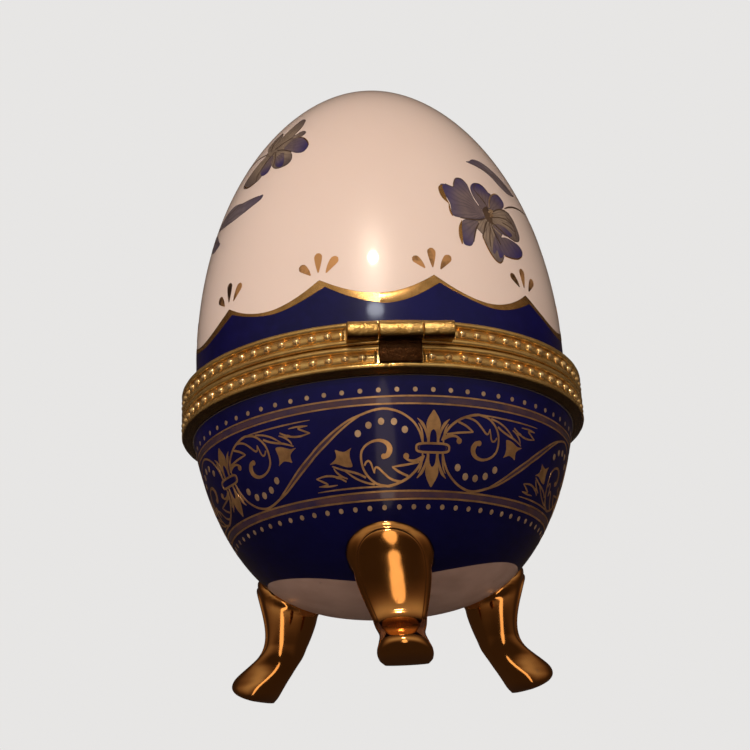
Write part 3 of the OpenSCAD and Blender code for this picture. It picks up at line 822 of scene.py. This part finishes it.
# (root, outline) of the leaves: the first belongs to the blossom, the others to the bud
LEAVES = [
    ((60, 1.01), [(36.6, 1.082), (38.6, 1.098), (40.4, 1.118), (43.4, 1.129), (46.6, 1.126), (50.4, 1.11),
        (54.4, 1.082), (58.4, 1.045), (61.2, 1.005), (58.4, 0.984), (54.6, 0.978), (51.2, 0.998),
        (48.2, 1.036), (45.2, 1.06), (41.2, 1.074)]),
    ((-68, 0.945), [(-39, 0.948), (-41.2, 0.951), (-45.2, 0.957), (-50, 0.968), (-54, 0.986), (-58.2, 0.997),
        (-62.4, 0.99), (-67.2, 0.965), (-69.6, 0.935), (-66.4, 0.918), (-60.4, 0.897), (-54.2, 0.886),
        (-48.2, 0.89), (-43.2, 0.905), (-39.6, 0.922)]),
    ((-79, 0.93), [(-61.2, 0.8), (-63.4, 0.836), (-66.8, 0.882), (-70.8, 0.918), (-75.6, 0.945),
        (-79.6, 0.948), (-78, 0.905), (-74.6, 0.862), (-70.4, 0.815), (-65.8, 0.788)]),
]
# (material, width, points) of the gold edges, dark creases and stems
BLOSSOM_LINES = [
    (GOLD, 0.95, [(23.3, 0.88, 0.35), (22.4, 0.862, 0.85), (22.6, 0.825, 1), (23.2, 0.795, 0.7),
        (24.2, 0.77, 0.3)]),
    (GOLD, 0.3, [(24.2, 0.77), (24.2, 0.725), (24.7, 0.7)]),
    (GOLD, 0.62, [(27.6, 0.682, 0.25), (26.7, 0.64, 0.6), (26.4, 0.59, 0.7), (26.5, 0.548, 0.45)]),
    (DARK, 0.22, [(24.4, 0.89), (27, 0.879), (27.7, 0.905), (29, 0.938), (31.4, 0.944), (33.1, 0.915)]),
    (DARK, 0.24, [(37.6, 0.735), (34.8, 0.712), (31.2, 0.7), (27.2, 0.696)]),
    (DARK, 0.26, [(33.9, 0.69), (32.4, 0.652), (31.4, 0.612), (30.6, 0.572)]),
    (DARK, 0.24, [(38, 0.725), (36.8, 0.7), (35.6, 0.66), (34.6, 0.62)]),
    (DARK, 0.2, [(38.4, 0.72), (38, 0.67), (37.2, 0.625), (36.8, 0.57)]),
    (DARK, 0.24, [(39, 0.72), (39.4, 0.67), (40.4, 0.632), (41.2, 0.6)]),
    (GOLD, 0.26, [(34.4, 0.622), (35, 0.578), (36.4, 0.53), (38, 0.5), (39.6, 0.492), (41, 0.512)]),
    (DARK, 0.3, [(39.2, 0.722), (42.2, 0.694), (45.4, 0.67), (48.8, 0.656)]),
    (DARK, 0.26, [(40.2, 0.775), (43.6, 0.812), (47.2, 0.83), (50.2, 0.824)]),
    (DARK, 0.2, [(39.6, 0.745), (43.4, 0.765), (47, 0.772), (50, 0.76)]),
    (DARK, 0.2, [(44.6, 0.742), (47.6, 0.735), (50.4, 0.718)]),
    (DARK, 0.22, [(47.4, 0.8), (49.6, 0.77), (50.6, 0.73), (50, 0.695)]),
    (SHINE, 0.3, [(40, 0.806), (40.9, 0.845), (42.4, 0.885), (44.8, 0.914), (46.8, 0.922)]),
    (DARK, 0.24, [(39.4, 0.8), (38.2, 0.838), (36.6, 0.87), (35.3, 0.895)]),
    (DARK, 0.2, [(35.3, 0.892), (36.4, 0.928), (38.4, 0.946), (40.4, 0.936), (41.8, 0.91)]),
    (DARK, 1.5, [(38.9, 0.806, 0.7), (38.3, 0.775, 1.9), (38.7, 0.735, 1.7), (39.6, 0.706, 0.6)]),
    (GOLD, 0.24, [(42, 0.542), (45, 0.543), (48.4, 0.556), (51, 0.585)]),
    (DARK, 0.34, [(48.4, 0.846), (51.4, 0.872), (55.4, 0.896), (60.2, 0.914), (66, 0.926)]),
]
BUD_LINES = [
    (DARK, 0.26, [(-41, 1.24), (-44.6, 1.18), (-46.4, 1.11), (-46, 1.07)]),
    (DARK, 0.22, [(-40.4, 1.235), (-38.8, 1.17), (-38, 1.12)]),
    (DARK, 0.22, [(-40, 1.245), (-35.6, 1.22), (-31, 1.18)]),
    (DARK, 0.22, [(-42, 1.265), (-38, 1.285), (-33.6, 1.3)]),
    (DARK, 0.22, [(-44.6, 1.27), (-46, 1.33), (-44.6, 1.385)]),
    (GOLD, 0.24, [(-30.4, 1.286), (-27.4, 1.264), (-24.8, 1.226), (-23.6, 1.19)]),
    (GOLD, 0.22, [(-55.2, 1.11), (-51, 1.068), (-46.6, 1.066)]),
    (DARK, 0.34, [(-46, 1.255), (-54, 1.275), (-63, 1.265)]),
]
STAMENS = [(40.2, 0.764, 0.42), (40.5, 0.788, 0.40), (39.3, 0.777, 0.22), (39.5, 0.752, 0.2)]


def paint_flower(brush, move, petals, heart, lines, taper, leaves):
    """One flower with its leaves. move(p) shifts a point to where the flower goes."""
    for material, lift, outline in petals:
        brush.patch([move(p) for p in outline], lift * 0.45, material, root=move(heart))
    for material, width, points in lines:
        brush.stroke([(*move(p), *p[2:]) for p in points], width, 0.042, 5, material, (taper, 0.5))
    for root, outline in leaves:
        brush.patch([move(p) for p in outline], 0.024, GREEN, rings=9, root=move(root))
        rib = [(lerp(root[0], outline[0][0], s),
                lerp(root[1], outline[0][1], s) + 0.018 * math.sin(math.pi * s))
               for s in (0.05, 0.35, 0.65, 0.92)]
        brush.stroke([move(p) for p in rib], 0.2, 0.03, 4, DARK, (0.5, 0.4))


def make_flowers():
    """Three sprays of a blossom and a bud. The first is seen from the camera's side, and its stems run on
    beyond the edges of that view. The others are the same flowers, moved and turned over."""
    brush = Brush(DOME)
    # (turn, rise, whether it is mirrored) of each copy's blossom, and (turn, rise) of its bud
    copies = [((0, 0, False), (0, 0)), ((158, 0.02, False), (152, -0.03)), ((172, 0.06, True), (248, -0.22))]
    for (turn, rise, mirrored), (bud_turn, bud_rise) in copies:
        def move(p, turn=turn, rise=rise, mirrored=mirrored):
            return turn - p[0] if mirrored else turn + p[0], p[1] + rise

        def bud_move(p, turn=bud_turn, rise=bud_rise):
            return turn + p[0], p[1] + rise

        paint_flower(brush, move, BLOSSOM_PETALS, BLOSSOM_HEART, BLOSSOM_LINES, 0.5, LEAVES[:1])
        for side, height, radius in STAMENS:
            brush.dot(*move((side, height)), radius, 0.07, SHINE)
        paint_flower(brush, bud_move, BUD_PETALS, BUD_HEART, BUD_LINES, 0.6, LEAVES[1:])
    paints = [BLUE_PETAL, GREY_PETAL, LEAF, GILDING, INK, DOTS]
    brush.finish("lid_painted_flowers", paints, "lid", "white_porcelain", painted=True)


# ---------------------------------------------------------------- collars and beads
LIP_R = 0.45
LOW_LIP, HIGH_LIP = HALF_GAP + LIP_R, 3.37
BAND_R = RING_R - 0.7
COLLAR_H = 4.4
FLANGE_T = 0.88
BEAD_H = (LOW_LIP + HIGH_LIP) / 2
BEAD_COUNT, BEAD_PHASE, BEAD_R = 82, 71.6, 0.78
SEAM_SIDE = 2.0                                    # side angle of the collars' butt seams
# The inner radii of each collar: its flange, its wall at the flange and its wall at the far edge.
LID_RADII, BASE_RADII = (28.9, 31.75, 31.75), (28.1, 32.8, 32.15)


def collar_outline(flange, root, edge):
    """Closed section of a collar as (radius, height away from the parting plane)."""
    lip_c, bevel, corner = RING_R - LIP_R, 0.12, 0.14
    outline = [(flange + bevel, HALF_GAP), (lerp(flange, lip_c, 0.5), HALF_GAP)]
    outline += arc(lip_c, LOW_LIP, LIP_R, -90, 90, 12)
    outline += arc(BAND_R + corner, LOW_LIP + LIP_R + corner, corner, 270, 180, 3)
    outline += [(BAND_R, BEAD_H)]
    outline += arc(BAND_R + corner, HIGH_LIP - LIP_R - corner, corner, 180, 90, 3)
    outline += arc(lip_c, HIGH_LIP, LIP_R, -90, 75, 12)
    outline += [(BAND_R, HIGH_LIP + LIP_R + 0.10), (RING_R - 1.15, COLLAR_H - 0.28)]
    outline += [(RING_R - 1.45, COLLAR_H - 0.10)]
    outline += [(edge + bevel, COLLAR_H), (edge, COLLAR_H - 0.08), (lerp(edge, root, 0.5), 2.7)]
    outline += [(r, HALF_GAP + FLANGE_T) for r in (root, flange)]
    return outline + [(flange, HALF_GAP + bevel)]


def seam_nudge(angle, r, h):
    """Cuts a thin butt seam, and lets the plating wander by a few hundredths of a millimetre."""
    off = (angle - CAMERA_ANGLE - SEAM_SIDE + 180) % 360 - 180
    cut = 0.16 * math.exp(-(off / 0.28) ** 2) if r > BAND_R - 0.05 or abs(h) > HIGH_LIP else 0.0
    a = math.radians(angle)
    wander = 0.012 * math.sin(23 * a + 3 * h) + 0.010 * math.sin(51 * a + h)
    return r - cut + (wander if r > 31 else 0), h


def make_collar(name, sign, outline, body, cad):
    """The outline turned round the egg's axis. sign is 1 for the lid and -1 for the base."""
    build = Builder()
    columns = []
    for angle in (360 * s for s in shares(720, 0)):
        section = [seam_nudge(angle, r, sign * h) for r, h in outline]
        columns.append(build.add([place(r, angle, h) for r, h in section]))
    build.loft(columns + columns[:1])
    build.finish(name, [BRASS], body, "antique_brass", [cad])


def add_bead(build, angle, height):
    size = BEAD_R * random.uniform(0.93, 1.0)
    angle += random.uniform(-0.12, 0.12)
    rings = []
    for tilt in (math.radians(90 * s) for s in shares(6, 0)):
        out = BAND_R + size * math.sin(tilt) + (0.02 if tilt else -0.1)
        circle = arc(0, height, size * math.cos(tilt), 0, 360, 14)[:-1]
        rings.append(build.add([place(out, angle + math.degrees(x / BAND_R), h) for x, h in circle]))
    build.loft(rings + [build.add([place(BAND_R + 0.02 + size, angle, height)])])


def make_beads(name, sign, gaps, body, cad):
    """Strip with its row of beads. gaps are (record angle, half width in mm) of the stretches without any."""
    build = Builder()
    for k in range(BEAD_COUNT):
        angle = BEAD_PHASE + 360 * k / BEAD_COUNT
        offs = [(math.radians(angle - centre), half) for centre, half in gaps]
        if not any(math.cos(t) > 0 and abs(33.5 * math.sin(t)) < half + BEAD_R + 0.2 for t, half in offs):
            add_bead(build, angle, sign * BEAD_H)
    halves = [(centre, math.degrees(math.asin(half / BAND_R))) for centre, half in gaps]
    low, high = sign * (LOW_LIP + LIP_R + 0.02), sign * (HIGH_LIP - LIP_R - 0.02)
    section = [(0, low), (0.2, low), (0.25, (low + high) / 2), (0.2, high), (0, high)]
    for (before, half), (after, next_half) in zip(halves, halves[1:] + halves[:1]):
        start = before + half
        span = (after - next_half - start) % 360
        rows = [build.add([place(BAND_R + out, start + span * s, h) for out, h in section])
                for s in shares(int(span))]
        build.loft(rows, True, 1, caps=True)
    build.finish(name, [BEAD_BRASS, BRASS], body, "antique_brass", [cad])


def make_collars():
    make_collar("lid_brass_collar", 1, collar_outline(*LID_RADII), "lid", "lid_collar")
    # The base collar's flange has an upstand round its inner edge.
    inner, under, top = BASE_RADII[0], HALF_GAP + FLANGE_T, -0.8
    upstand = [(inner, under), (inner, top + 0.12), (inner + 0.1, top), (inner + 0.4, top),
               (inner + 0.5, top + 0.1),
               (inner + 0.5, HALF_GAP - 0.04), (inner + 0.56, HALF_GAP)]
    make_collar("base_brass_collar", -1, collar_outline(*BASE_RADII)[1:-2] + upstand, "base", "base_collar")
    make_beads("lid_bead_row", 1, [(90, 8.2), (270, 2.8)], "lid", "lid_bead_strip")
    make_beads("base_bead_row", -1, [(90, 3.45), (270, 2.4)], "base", "base_bead_strip")


# ---------------------------------------------------------------- hinge
def add_barrel(build, x0, x1, bore=PIN_R):
    """Knuckle along X with rounded rims."""
    bevel = 0.16
    rim = [(bore, 0), (KNUCKLE_R - bevel, 0), (KNUCKLE_R - 0.3 * bevel, 0.3 * bevel), (KNUCKLE_R, bevel)]
    third = (x1 - x0) / 3
    outline = [(r, x0 + x) for r, x in rim + [(KNUCKLE_R, third)]]
    outline += [(r, x1 - x) for r, x in [(KNUCKLE_R, third)] + rim[::-1]]
    rows = [build.add(wheel(x, HINGE_Y, HINGE_Z, r, 40)) for r, x in outline]
    build.loft(rows + rows[:1])


def add_block(build, low, high, bevel, slope=0.0):
    """Block with bevelled edges between two corners, their heights from the parting plane. Its +Y face leans
    in by slope at its foot."""
    work = bmesh.new()
    bmesh.ops.create_cube(work, size=1)
    for v in work.verts:
        lean = slope if v.co.y > 0 > v.co.z else 0.0
        x, y, z = (lerp(a, b, c + 0.5) for a, b, c in zip(low, high, v.co))
        v.co = x, y - lean, z + PARTING_Z
    bmesh.ops.bevel(work, geom=list(work.edges), offset=bevel, segments=3, profile=0.5, affect="EDGES")
    work.verts.index_update()
    start = build.add([v.co * MM for v in work.verts])
    for f in work.faces:
        build.face([start[v.index] for v in f.verts])
    work.free()


def make_hinge():
    """Three knuckles, the straps and the leaf that hold them to the collars, and the pin."""
    inner, outer, foot = 3.4, 8.0, 33.0
    for name, x0, x1 in (("lid_hinge_knuckle_left", inner, outer),
                         ("lid_hinge_knuckle_right", -outer, -inner)):
        build = Builder()
        add_barrel(build, x0, x1)
        add_block(build, (x0 + 0.03, foot, 0.35), (x1 - 0.03, HINGE_Y - 0.3, 2.2), 0.12)
        add_block(build, (x0 + 0.03, foot, 1.4), (x1 - 0.03, 34.75, 3.05), 0.15)
        build.finish(name + "_barrel", [SHADED_HINGE_BRASS], "lid", "antique_brass", [name])
    build = Builder()
    half, face = 3.22, 34.8
    add_barrel(build, -half - 0.03, half + 0.03, PIN_R + 0.05)
    add_block(build, (-half, 34.16, -0.3), (half, face, 1.6), 0.12)
    add_block(build, (-half, 33.2, -3.08), (half, face, -0.14), 0.15, 0.55)
    build.finish("base_hinge_leaf_barrel", [SHADED_HINGE_BRASS], "base", "antique_brass", ["base_hinge_leaf"])
    build = Builder()
    end = [(8.12 - 0.2 * (1 - math.cos(t)), PIN_R * math.sin(t)) for t in map(math.radians, (20, 45, 70, 90))]
    outline = [(-x, r) for x, r in end] + end[::-1]
    build.loft([build.add(wheel(x, HINGE_Y, HINGE_Z, r, 24)) for x, r in outline], caps=True)
    build.finish("hinge_pin_rod", [SHADED_HINGE_BRASS], "lid", "antique_brass", ["hinge_pin"])


# ---------------------------------------------------------------- clasp
TONGUE_IN, TONGUE_T, TONGUE_HALF_W = 34.2, 0.8, 2.6
CURL_H, CURL_R = -2.2, 1.43                        # the finger end's bend: its height and inner radius
WINDOW_R = 1.1
STUD_R = 0.85


def add_tongue(build):
    """The sheet, fluted lengthways and waisted, from its upper end round the bend."""
    centre = TONGUE_IN + TONGUE_T + CURL_R
    path = [(TONGUE_IN, h) for h in (3.45, 2.6, 1.7, 0.8, -0.1, -1.0, -1.7)]
    path += arc(centre, CURL_H, CURL_R + TONGUE_T, 180, 262, 12)
    rows = []
    for i, (out, h) in enumerate(path):
        share = i / (len(path) - 1)
        before, after = path[max(i - 1, 0)], path[min(i + 1, len(path) - 1)]
        dx, dy = after[0] - before[0], after[1] - before[1]
        nx, ny = (v / math.hypot(dx, dy) for v in (-dy, dx))      # outward side of the sheet
        width = TONGUE_HALF_W * (1 - 0.16 * math.sin(math.pi * clamp(share * 1.25)) ** 2)
        width *= 0.93 if share in (0, 1) else 1
        outer, inner = [], []
        for s in (2 * k - 1 for k in shares(20)):
            flute = 0.09 * math.cos(5 * math.pi * s) * math.sin(math.pi * clamp(share, 0.03, 0.97))
            edge = 0.14 * abs(s) ** 8
            for face, t in ((outer, TONGUE_T - 0.1 + flute - edge), (inner, edge)):
                face.append(Vector((s * width, -(out + nx * t), PARTING_Z + h + ny * t)) * MM)
        rows.append(build.add(outer + inner[::-1]))
    build.loft(rows, caps=True)
    roll = [(0, 0.64), (0.8, 0.5952), (2.2, 0.64), (2.42, 0.58), (2.5, 0.35)]   # (x, radius) of half the roll
    roll = [(-x, r) for x, r in roll[:0:-1]] + roll
    roll_z = PARTING_Z + CURL_H - CURL_R - TONGUE_T / 2
    build.loft([build.add(wheel(x, -centre, roll_z, r, 24)) for x, r in roll], caps=True)


def make_clasp():
    """Tongue with a rolled finger end on the lid, and the stud on the base that shows in its window."""
    build = Builder()
    add_tongue(build)
    add_block(build, (-2.3, -34.3, 0.5), (2.3, -33.2, 3.2), 0.12)
    tongue = build.finish("clasp_tongue_fluted", [BRASS], "lid", "antique_brass", ["clasp_tongue"])
    cut_window(tongue)
    build = Builder()
    add_block(build, (-2.15, -33.75, -2.88), (2.15, -33.2, -1.06), 0.1)
    rings = []
    for t in (math.radians(90 * s) for s in shares(7, 0)):
        circle = arc(0, PARTING_Z - BEAD_H, STUD_R * math.cos(t), 0, 360, 24)[:-1]
        rings.append(build.add([Vector((x, -33.25 - STUD_R * math.sin(t), z)) * MM for x, z in circle]))
    build.loft(rings, caps=True)
    build.finish("catch_stud_plate", [BRASS], "base", "antique_brass", ["catch_stud"])


def cut_window(tongue):
    """Cuts the round window through the tongue, over the stud, and keeps its edge sharp."""
    work = bmesh.new()
    turn = Matrix.Translation(Vector((0, -TONGUE_IN - 0.4, PARTING_Z - BEAD_H)) * MM)
    turn @= Matrix.Rotation(math.radians(90), 4, "X")
    bmesh.ops.create_cone(work, cap_ends=True, segments=40, radius1=WINDOW_R * MM, radius2=WINDOW_R * MM,
                          depth=4 * MM, matrix=turn)
    mesh = bpy.data.meshes.new("window_cutter")
    work.to_mesh(mesh)
    work.free()
    cutter = bpy.data.objects.new("window_cutter", mesh)
    bpy.context.scene.collection.objects.link(cutter)
    cut = tongue.modifiers.new("window", "BOOLEAN")
    cut.operation = "DIFFERENCE"
    cut.object = cutter
    cut.solver = "EXACT"
    bpy.context.view_layer.update()
    result = bpy.data.meshes.new_from_object(tongue.evaluated_get(bpy.context.evaluated_depsgraph_get()))
    tongue.modifiers.clear()
    tongue.data = result
    bpy.data.objects.remove(cutter)
    smooth_except(result, 50)


# ---------------------------------------------------------------- legs
# [height above the table, distance from the egg's axis], as in the CAD model.
LEG_OUTER = [(0, 26.2), (0.5, 27.7), (1.4, 29.5), (2.6, 30.5), (3.8, 30.25), (5.0, 28.6), (6.4, 25.7),
             (7.9, 23.8), (10, 22.9), (13, 23.0), (16.6, 24.0), (18.6, 24.8), (19.6, 24.85), (20.7, 24.45),
             (KNEE_TOP, 23.4)]
LEG_INNER = [(0, 24.5), (0.4, 23.8), (1.0, 23.0), (2.0, 22.0), (3.0, 20.95), (4.2, 19.75), (6.1, 18.3),
             (8.2, 17.35), (11, 16.2), (13.5, 15.5), (KNEE_TOP, 15.0)]
LEG_HALF_W = [(0, 3.3), (0.7, 4.0), (2.0, 4.25), (3.4, 3.85), (4.6, 3.6), (5.8, 3.7), (7.2, 4.35),
              (10.2, 5.5), (13.9, 6.7), (16.8, 7.15)]
LEG_BACK = [(0, 0.95), (4, 0.93), (10, 0.76), (KNEE_TOP, 0.74)]
KNEE_ARCH = 2.6
LEG_ROUNDNESS, BACK_ROUNDNESS = 2.45, 2.05
BACK_LEG_ANGLE = 83.8                              # from +X towards +Y, as the camera's
LEG_LEAN = 1.4                                     # how far a sole stands to the side of its knee
BACK_LEAN, BACK_TUCK, BACK_SQUAT = 2.1, 5.2, 0.2   # the back leg leans more, is drawn in, and is squatter
ANKLE_Z, ANKLE_RING_Z = 5.6, 6.0
PANEL_TURN = 43                                    # where the front panel ends, in degrees round a section
PANEL_TOP_Z, PANEL_ARCH_Z = 19.5, 15.2             # the panel's top, and where its sides start to arch
PANEL_STEP = 5.0                                   # degrees over which the step beside the panel falls


def leg_half_width(z):
    widest_z, half_w = LEG_HALF_W[-1]
    if z < widest_z:
        return table(LEG_HALF_W, z)
    rise = (z - widest_z) / (KNEE_TOP - widest_z)
    return half_w * max(0.004, 1 - rise ** KNEE_ARCH) ** (1 / KNEE_ARCH)


def section_turns(z):
    """Degrees round half of a level section, from the front's middle to the back's. They crowd at the panel's
    edge."""
    rise = clamp((z - PANEL_ARCH_Z) / (PANEL_TOP_Z - PANEL_ARCH_Z))
    edge = max(10, PANEL_TURN * math.sqrt(1 - rise * rise))
    turns = [edge * s for s in (0, 0.2, 0.4, 0.6, 0.75, 0.87, 0.95)]
    turns += [edge + PANEL_STEP * s for s in shares(5)]
    turns += [lerp(edge + PANEL_STEP, 90, s) for s in (0.1, 0.25, 0.45, 0.7, 1)]
    return turns + [100, 110, 120, 129, 136, 142, 148, 154, 162, 171, 180]


def leg_relief(turn, z):
    """How far the leg's skin stands in from its smooth section: a step beside the front panel, hollow flanks.
    A low ring round the ankle stands out instead."""
    above_ankle = clamp((z - 6.6) / 1.8)
    rise = max(0.0, (z - PANEL_ARCH_Z) / (PANEL_TOP_Z - PANEL_ARCH_Z))
    step = clamp((math.hypot(turn / PANEL_TURN, rise) - 1) * PANEL_TURN / PANEL_STEP)
    fade = 1 - 0.7 * clamp((turn - PANEL_TURN - PANEL_STEP) / (95 - PANEL_TURN - PANEL_STEP))
    hollow = math.sin(math.pi * clamp((turn - 84) / 46))
    back = 0.5 - 0.5 * math.cos(math.pi * clamp((turn - 150) / 30))
    ring = 0.13 * math.exp(-((z - ANKLE_RING_Z) / 0.5) ** 2) * clamp((105 - turn) / 40)
    hollows = above_ankle * (0.46 * step * step * (3 - 2 * step) * fade + 0.12 * hollow)
    return hollows + 0.2 * back * clamp(z / 3) - ring


def leg_section(level, z, tuck):
    """Half of the leg's section at a level, as (distance from the egg's axis, distance sideways). z is the
    height to look up in the tables, and tuck the distance the section is then moved in."""
    outer, inner, w, back = table(LEG_OUTER, z), table(LEG_INNER, z), leg_half_width(z), table(LEG_BACK, z)
    middle, half = (outer + inner) / 2, (outer - inner) / 2
    section = []
    for turn in section_turns(z):
        c, s = math.cos(math.radians(turn)), math.sin(math.radians(turn))
        roundness = LEG_ROUNDNESS if turn <= 90 else BACK_ROUNDNESS
        x, y = math.copysign(abs(c) ** (2 / roundness), c), abs(s) ** (2 / roundness)
        nx, ny = abs(x) ** (roundness - 1) / half, y ** (roundness - 1) / w
        relief = leg_relief(turn, z) * clamp(w / 4) / math.hypot(nx, ny)
        share = back + (1 - back) * (x + 1) / 2
        r = middle + half * x - relief * math.copysign(nx, x)
        t = w * share * y - relief * ny
        if level > BOWL_BOTTOM:
            # The leg flares where it meets the bowl, and runs a little way into its wall.
            wall = BOWL.radius(level - PARTING_Z) + tuck
            t += 0.60 * clamp(1 - (r - wall) / 2.4) ** 2 * clamp((level - BOWL_BOTTOM) / 3) * min(1, t / 2)
            r = max(r, wall - 1.3)
        section.append((r, t))
    return section


def make_leg(name, angle, sideways=LEG_LEAN, tuck=0.0, squat=0.0):
    """Cabriole leg lofted from level sections. Its sole stands sideways and inwards of its knee, and a squat
    one has a lower ankle."""
    heights = [ANKLE_Z * s ** 1.3 for s in shares(34)]
    heights += [lerp(ANKLE_Z, KNEE_TOP - 0.02, 1 - (1 - s) ** 1.5) for s in shares(80)[1:]]
    build = Builder()
    rows = []
    a = math.radians(angle)
    out, side = Vector((math.cos(a), math.sin(a), 0)), Vector((-math.sin(a), math.cos(a), 0))
    for z in heights:
        low = 1 - z / KNEE_TOP
        half = leg_section(z, z * (1 + squat * low), tuck * low)
        shift = side * sideways * low - out * tuck * low + Vector((0, 0, z))
        full = half + [(r, -t) for r, t in half[-2:0:-1]]
        rows.append(build.add([(out * r + side * t + shift) * MM for r, t in full]))
    build.loft(rows, caps=True)
    build.finish(name + "_cabriole", [LUSTRE], "base", "gold_lustre", [name])


# ---------------------------------------------------------------- stage, lights and camera
PALE_GREY = (0.80, 0.79, 0.78, 1)


def make_stage():
    """Pale floor that shows from above only, so that the low camera sees the box over it."""
    n = material("stage_floor")
    n.set(color=PALE_GREY, rough=0.9)
    side = n.new("NewGeometry").outputs["Backfacing"]
    solid, clear = n.tree.nodes["Principled BSDF"].outputs[0], n.new("BsdfTransparent").outputs[0]
    n.feed(n.tree.nodes["Material Output"].inputs[0], n.new("MixShader", side, solid, clear).outputs[0])
    mesh = bpy.data.meshes.new("floor")
    half = 1.2
    corners = [(-half, -half, 0), (half, -half, 0), (half, half, 0), (-half, half, 0)]
    mesh.from_pydata(corners, [], [(0, 1, 2, 3)])
    mesh.materials.append(n.owner)
    floor = bpy.data.objects.new("floor", mesh)
    bpy.context.scene.collection.objects.link(floor)
    floor.visible_shadow = False
    floor.visible_glossy = False


def surround(n):
    """Strength of the soft light by direction: a broad band a little above level, strongest before the
    hinge."""
    a = math.radians(CAMERA_ANGLE)
    towards = (math.cos(a), math.sin(a), 0.1)
    facing = n.new("VectorMath", n.coords, towards, operation="DOT_PRODUCT").outputs["Value"]
    off = n.math("ABSOLUTE", n.math("SUBTRACT", n.height(), 0.36))
    band = n.span(off, 0.0, 1.0, 1.0, 0.0, interpolation_type="SMOOTHSTEP")
    front = n.span(facing, -0.45, 1.0, interpolation_type="SMOOTHSTEP")
    return n.math("MULTIPLY_ADD", n.math("MULTIPLY", band, front), 0.40, 0.035)


def make_world():
    """Pale studio backdrop for the camera, and a dimmer soft surround for the glazes and metals to reflect,
    redder where it is dim."""
    world = bpy.data.worlds.new("studio")
    bpy.context.scene.world = world
    n = Nodes(world, "Generated")
    plain = n.tree.nodes["Background"]
    n.feed(plain.inputs["Color"], PALE_GREY)
    strength = surround(n)
    color = n.blend(n.span(strength, 0.08, 0.32), (1.0, 0.66, 0.48), (1.0, 0.87, 0.74))
    soft = n.new("Background", color, strength).outputs[0]
    camera_ray = n.new("LightPath").outputs["Is Camera Ray"]
    mix = n.new("MixShader", camera_ray, soft, plain.outputs[0]).outputs[0]
    n.feed(n.tree.nodes["World Output"].inputs[0], mix)


def area_light(name, side, elevation, distance, width, height, power, color, shiny=False):
    """Oval lamp aimed at the middle of the egg, placed by angles from the camera's side. One that isn't shiny
    lights the glazes and metals without a reflection of its own."""
    target = Vector((0, 0, (PARTING_Z + 8) * MM))
    a, e = math.radians(CAMERA_ANGLE + side), math.radians(elevation)
    towards = Vector((math.cos(a) * math.cos(e), math.sin(a) * math.cos(e), math.sin(e)))
    data = bpy.data.lights.new(name, "AREA")
    data.shape = "ELLIPSE"
    data.size, data.size_y = width, height
    data.energy = power
    data.color = color
    lamp = bpy.data.objects.new(name, data)
    lamp.location = target + towards * distance
    lamp.rotation_euler = towards.to_track_quat("Z", "Y").to_euler()
    lamp.visible_glossy = shiny
    bpy.context.scene.collection.objects.link(lamp)


def make_lights():
    warm, soft = (1.0, 0.80, 0.62), (1.0, 0.86, 0.78)
    area_light("key", -1, 33, 0.75, 0.06, 0.038, 2.1, warm, shiny=True)
    area_light("low_key", -1, 20.5, 0.75, 0.12, 0.045, 0.3, (0.86, 0.9, 1.0), shiny=True)
    area_light("leg_strip", 1, -27, 0.8, 0.16, 0.72, 0.42, warm, shiny=True)
    area_light("front_wash", -20, 24, 1.0, 0.8, 0.4, 1.95, soft)
    area_light("left_fill", -102, 18, 0.9, 0.3, 0.6, 1.15, soft)
    area_light("right_fill", 100, 15, 0.9, 0.35, 0.6, 0.6, soft)
    area_light("top_fill", 180, 65, 0.9, 0.7, 0.7, 1.7, soft)
    area_light("rear_fill", 178, 22, 1.0, 0.8, 0.5, 1.6, soft)


def make_camera():
    """Low camera that looks up at the hinge side. Distances are in collar radii from the parting plane's
    centre."""
    lens_share = 1390 / 750                         # focal length over the picture's width
    eye = Vector((-0.026, -6.626, -2.267)) * RING_R
    rise, roll = math.radians(-20.65), math.radians(2.788)
    back, right = Vector((0, -math.cos(rise), math.sin(rise))), Vector((1, 0, 0))
    up = back.cross(right)
    image_right = right * math.cos(roll) - up * math.sin(roll)
    image_up = right * math.sin(roll) + up * math.cos(roll)
    turn = Matrix.Rotation(math.radians(CAMERA_ANGLE + 90), 3, "Z")
    axes = Matrix([turn @ v for v in (image_right, image_up, back)]).transposed().to_4x4()
    data = bpy.data.cameras.new("camera")
    data.sensor_width = 36
    data.lens = data.sensor_width * lens_share
    data.clip_start = 0.005
    camera = bpy.data.objects.new("camera", data)
    camera.matrix_world = Matrix.Translation((turn @ eye + Vector((0, 0, PARTING_Z))) * MM) @ axes
    bpy.context.scene.collection.objects.link(camera)
    bpy.context.scene.camera = camera


# ---------------------------------------------------------------- the whole scene
make_camera()
make_dome()
make_bowl()
make_scallop_gilding()
make_band()
make_flowers()
make_collars()
make_hinge()
make_clasp()
make_leg("foot_back", BACK_LEG_ANGLE, BACK_LEAN, BACK_TUCK, BACK_SQUAT)
make_leg("foot_front_left", BACK_LEG_ANGLE + 120)
make_leg("foot_front_right", BACK_LEG_ANGLE + 240)
# The CAD cement rings take the dark cement, painted shade in the gaps beside the collars.
for hidden in ("lid_cement", "base_cement"):
    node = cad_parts[hidden]
    node.data.materials.clear()
    node.data.materials.append(SHADED_CEMENT)
make_stage()
make_world()
make_lights()
bpy.context.scene.view_settings.view_transform = "Standard"
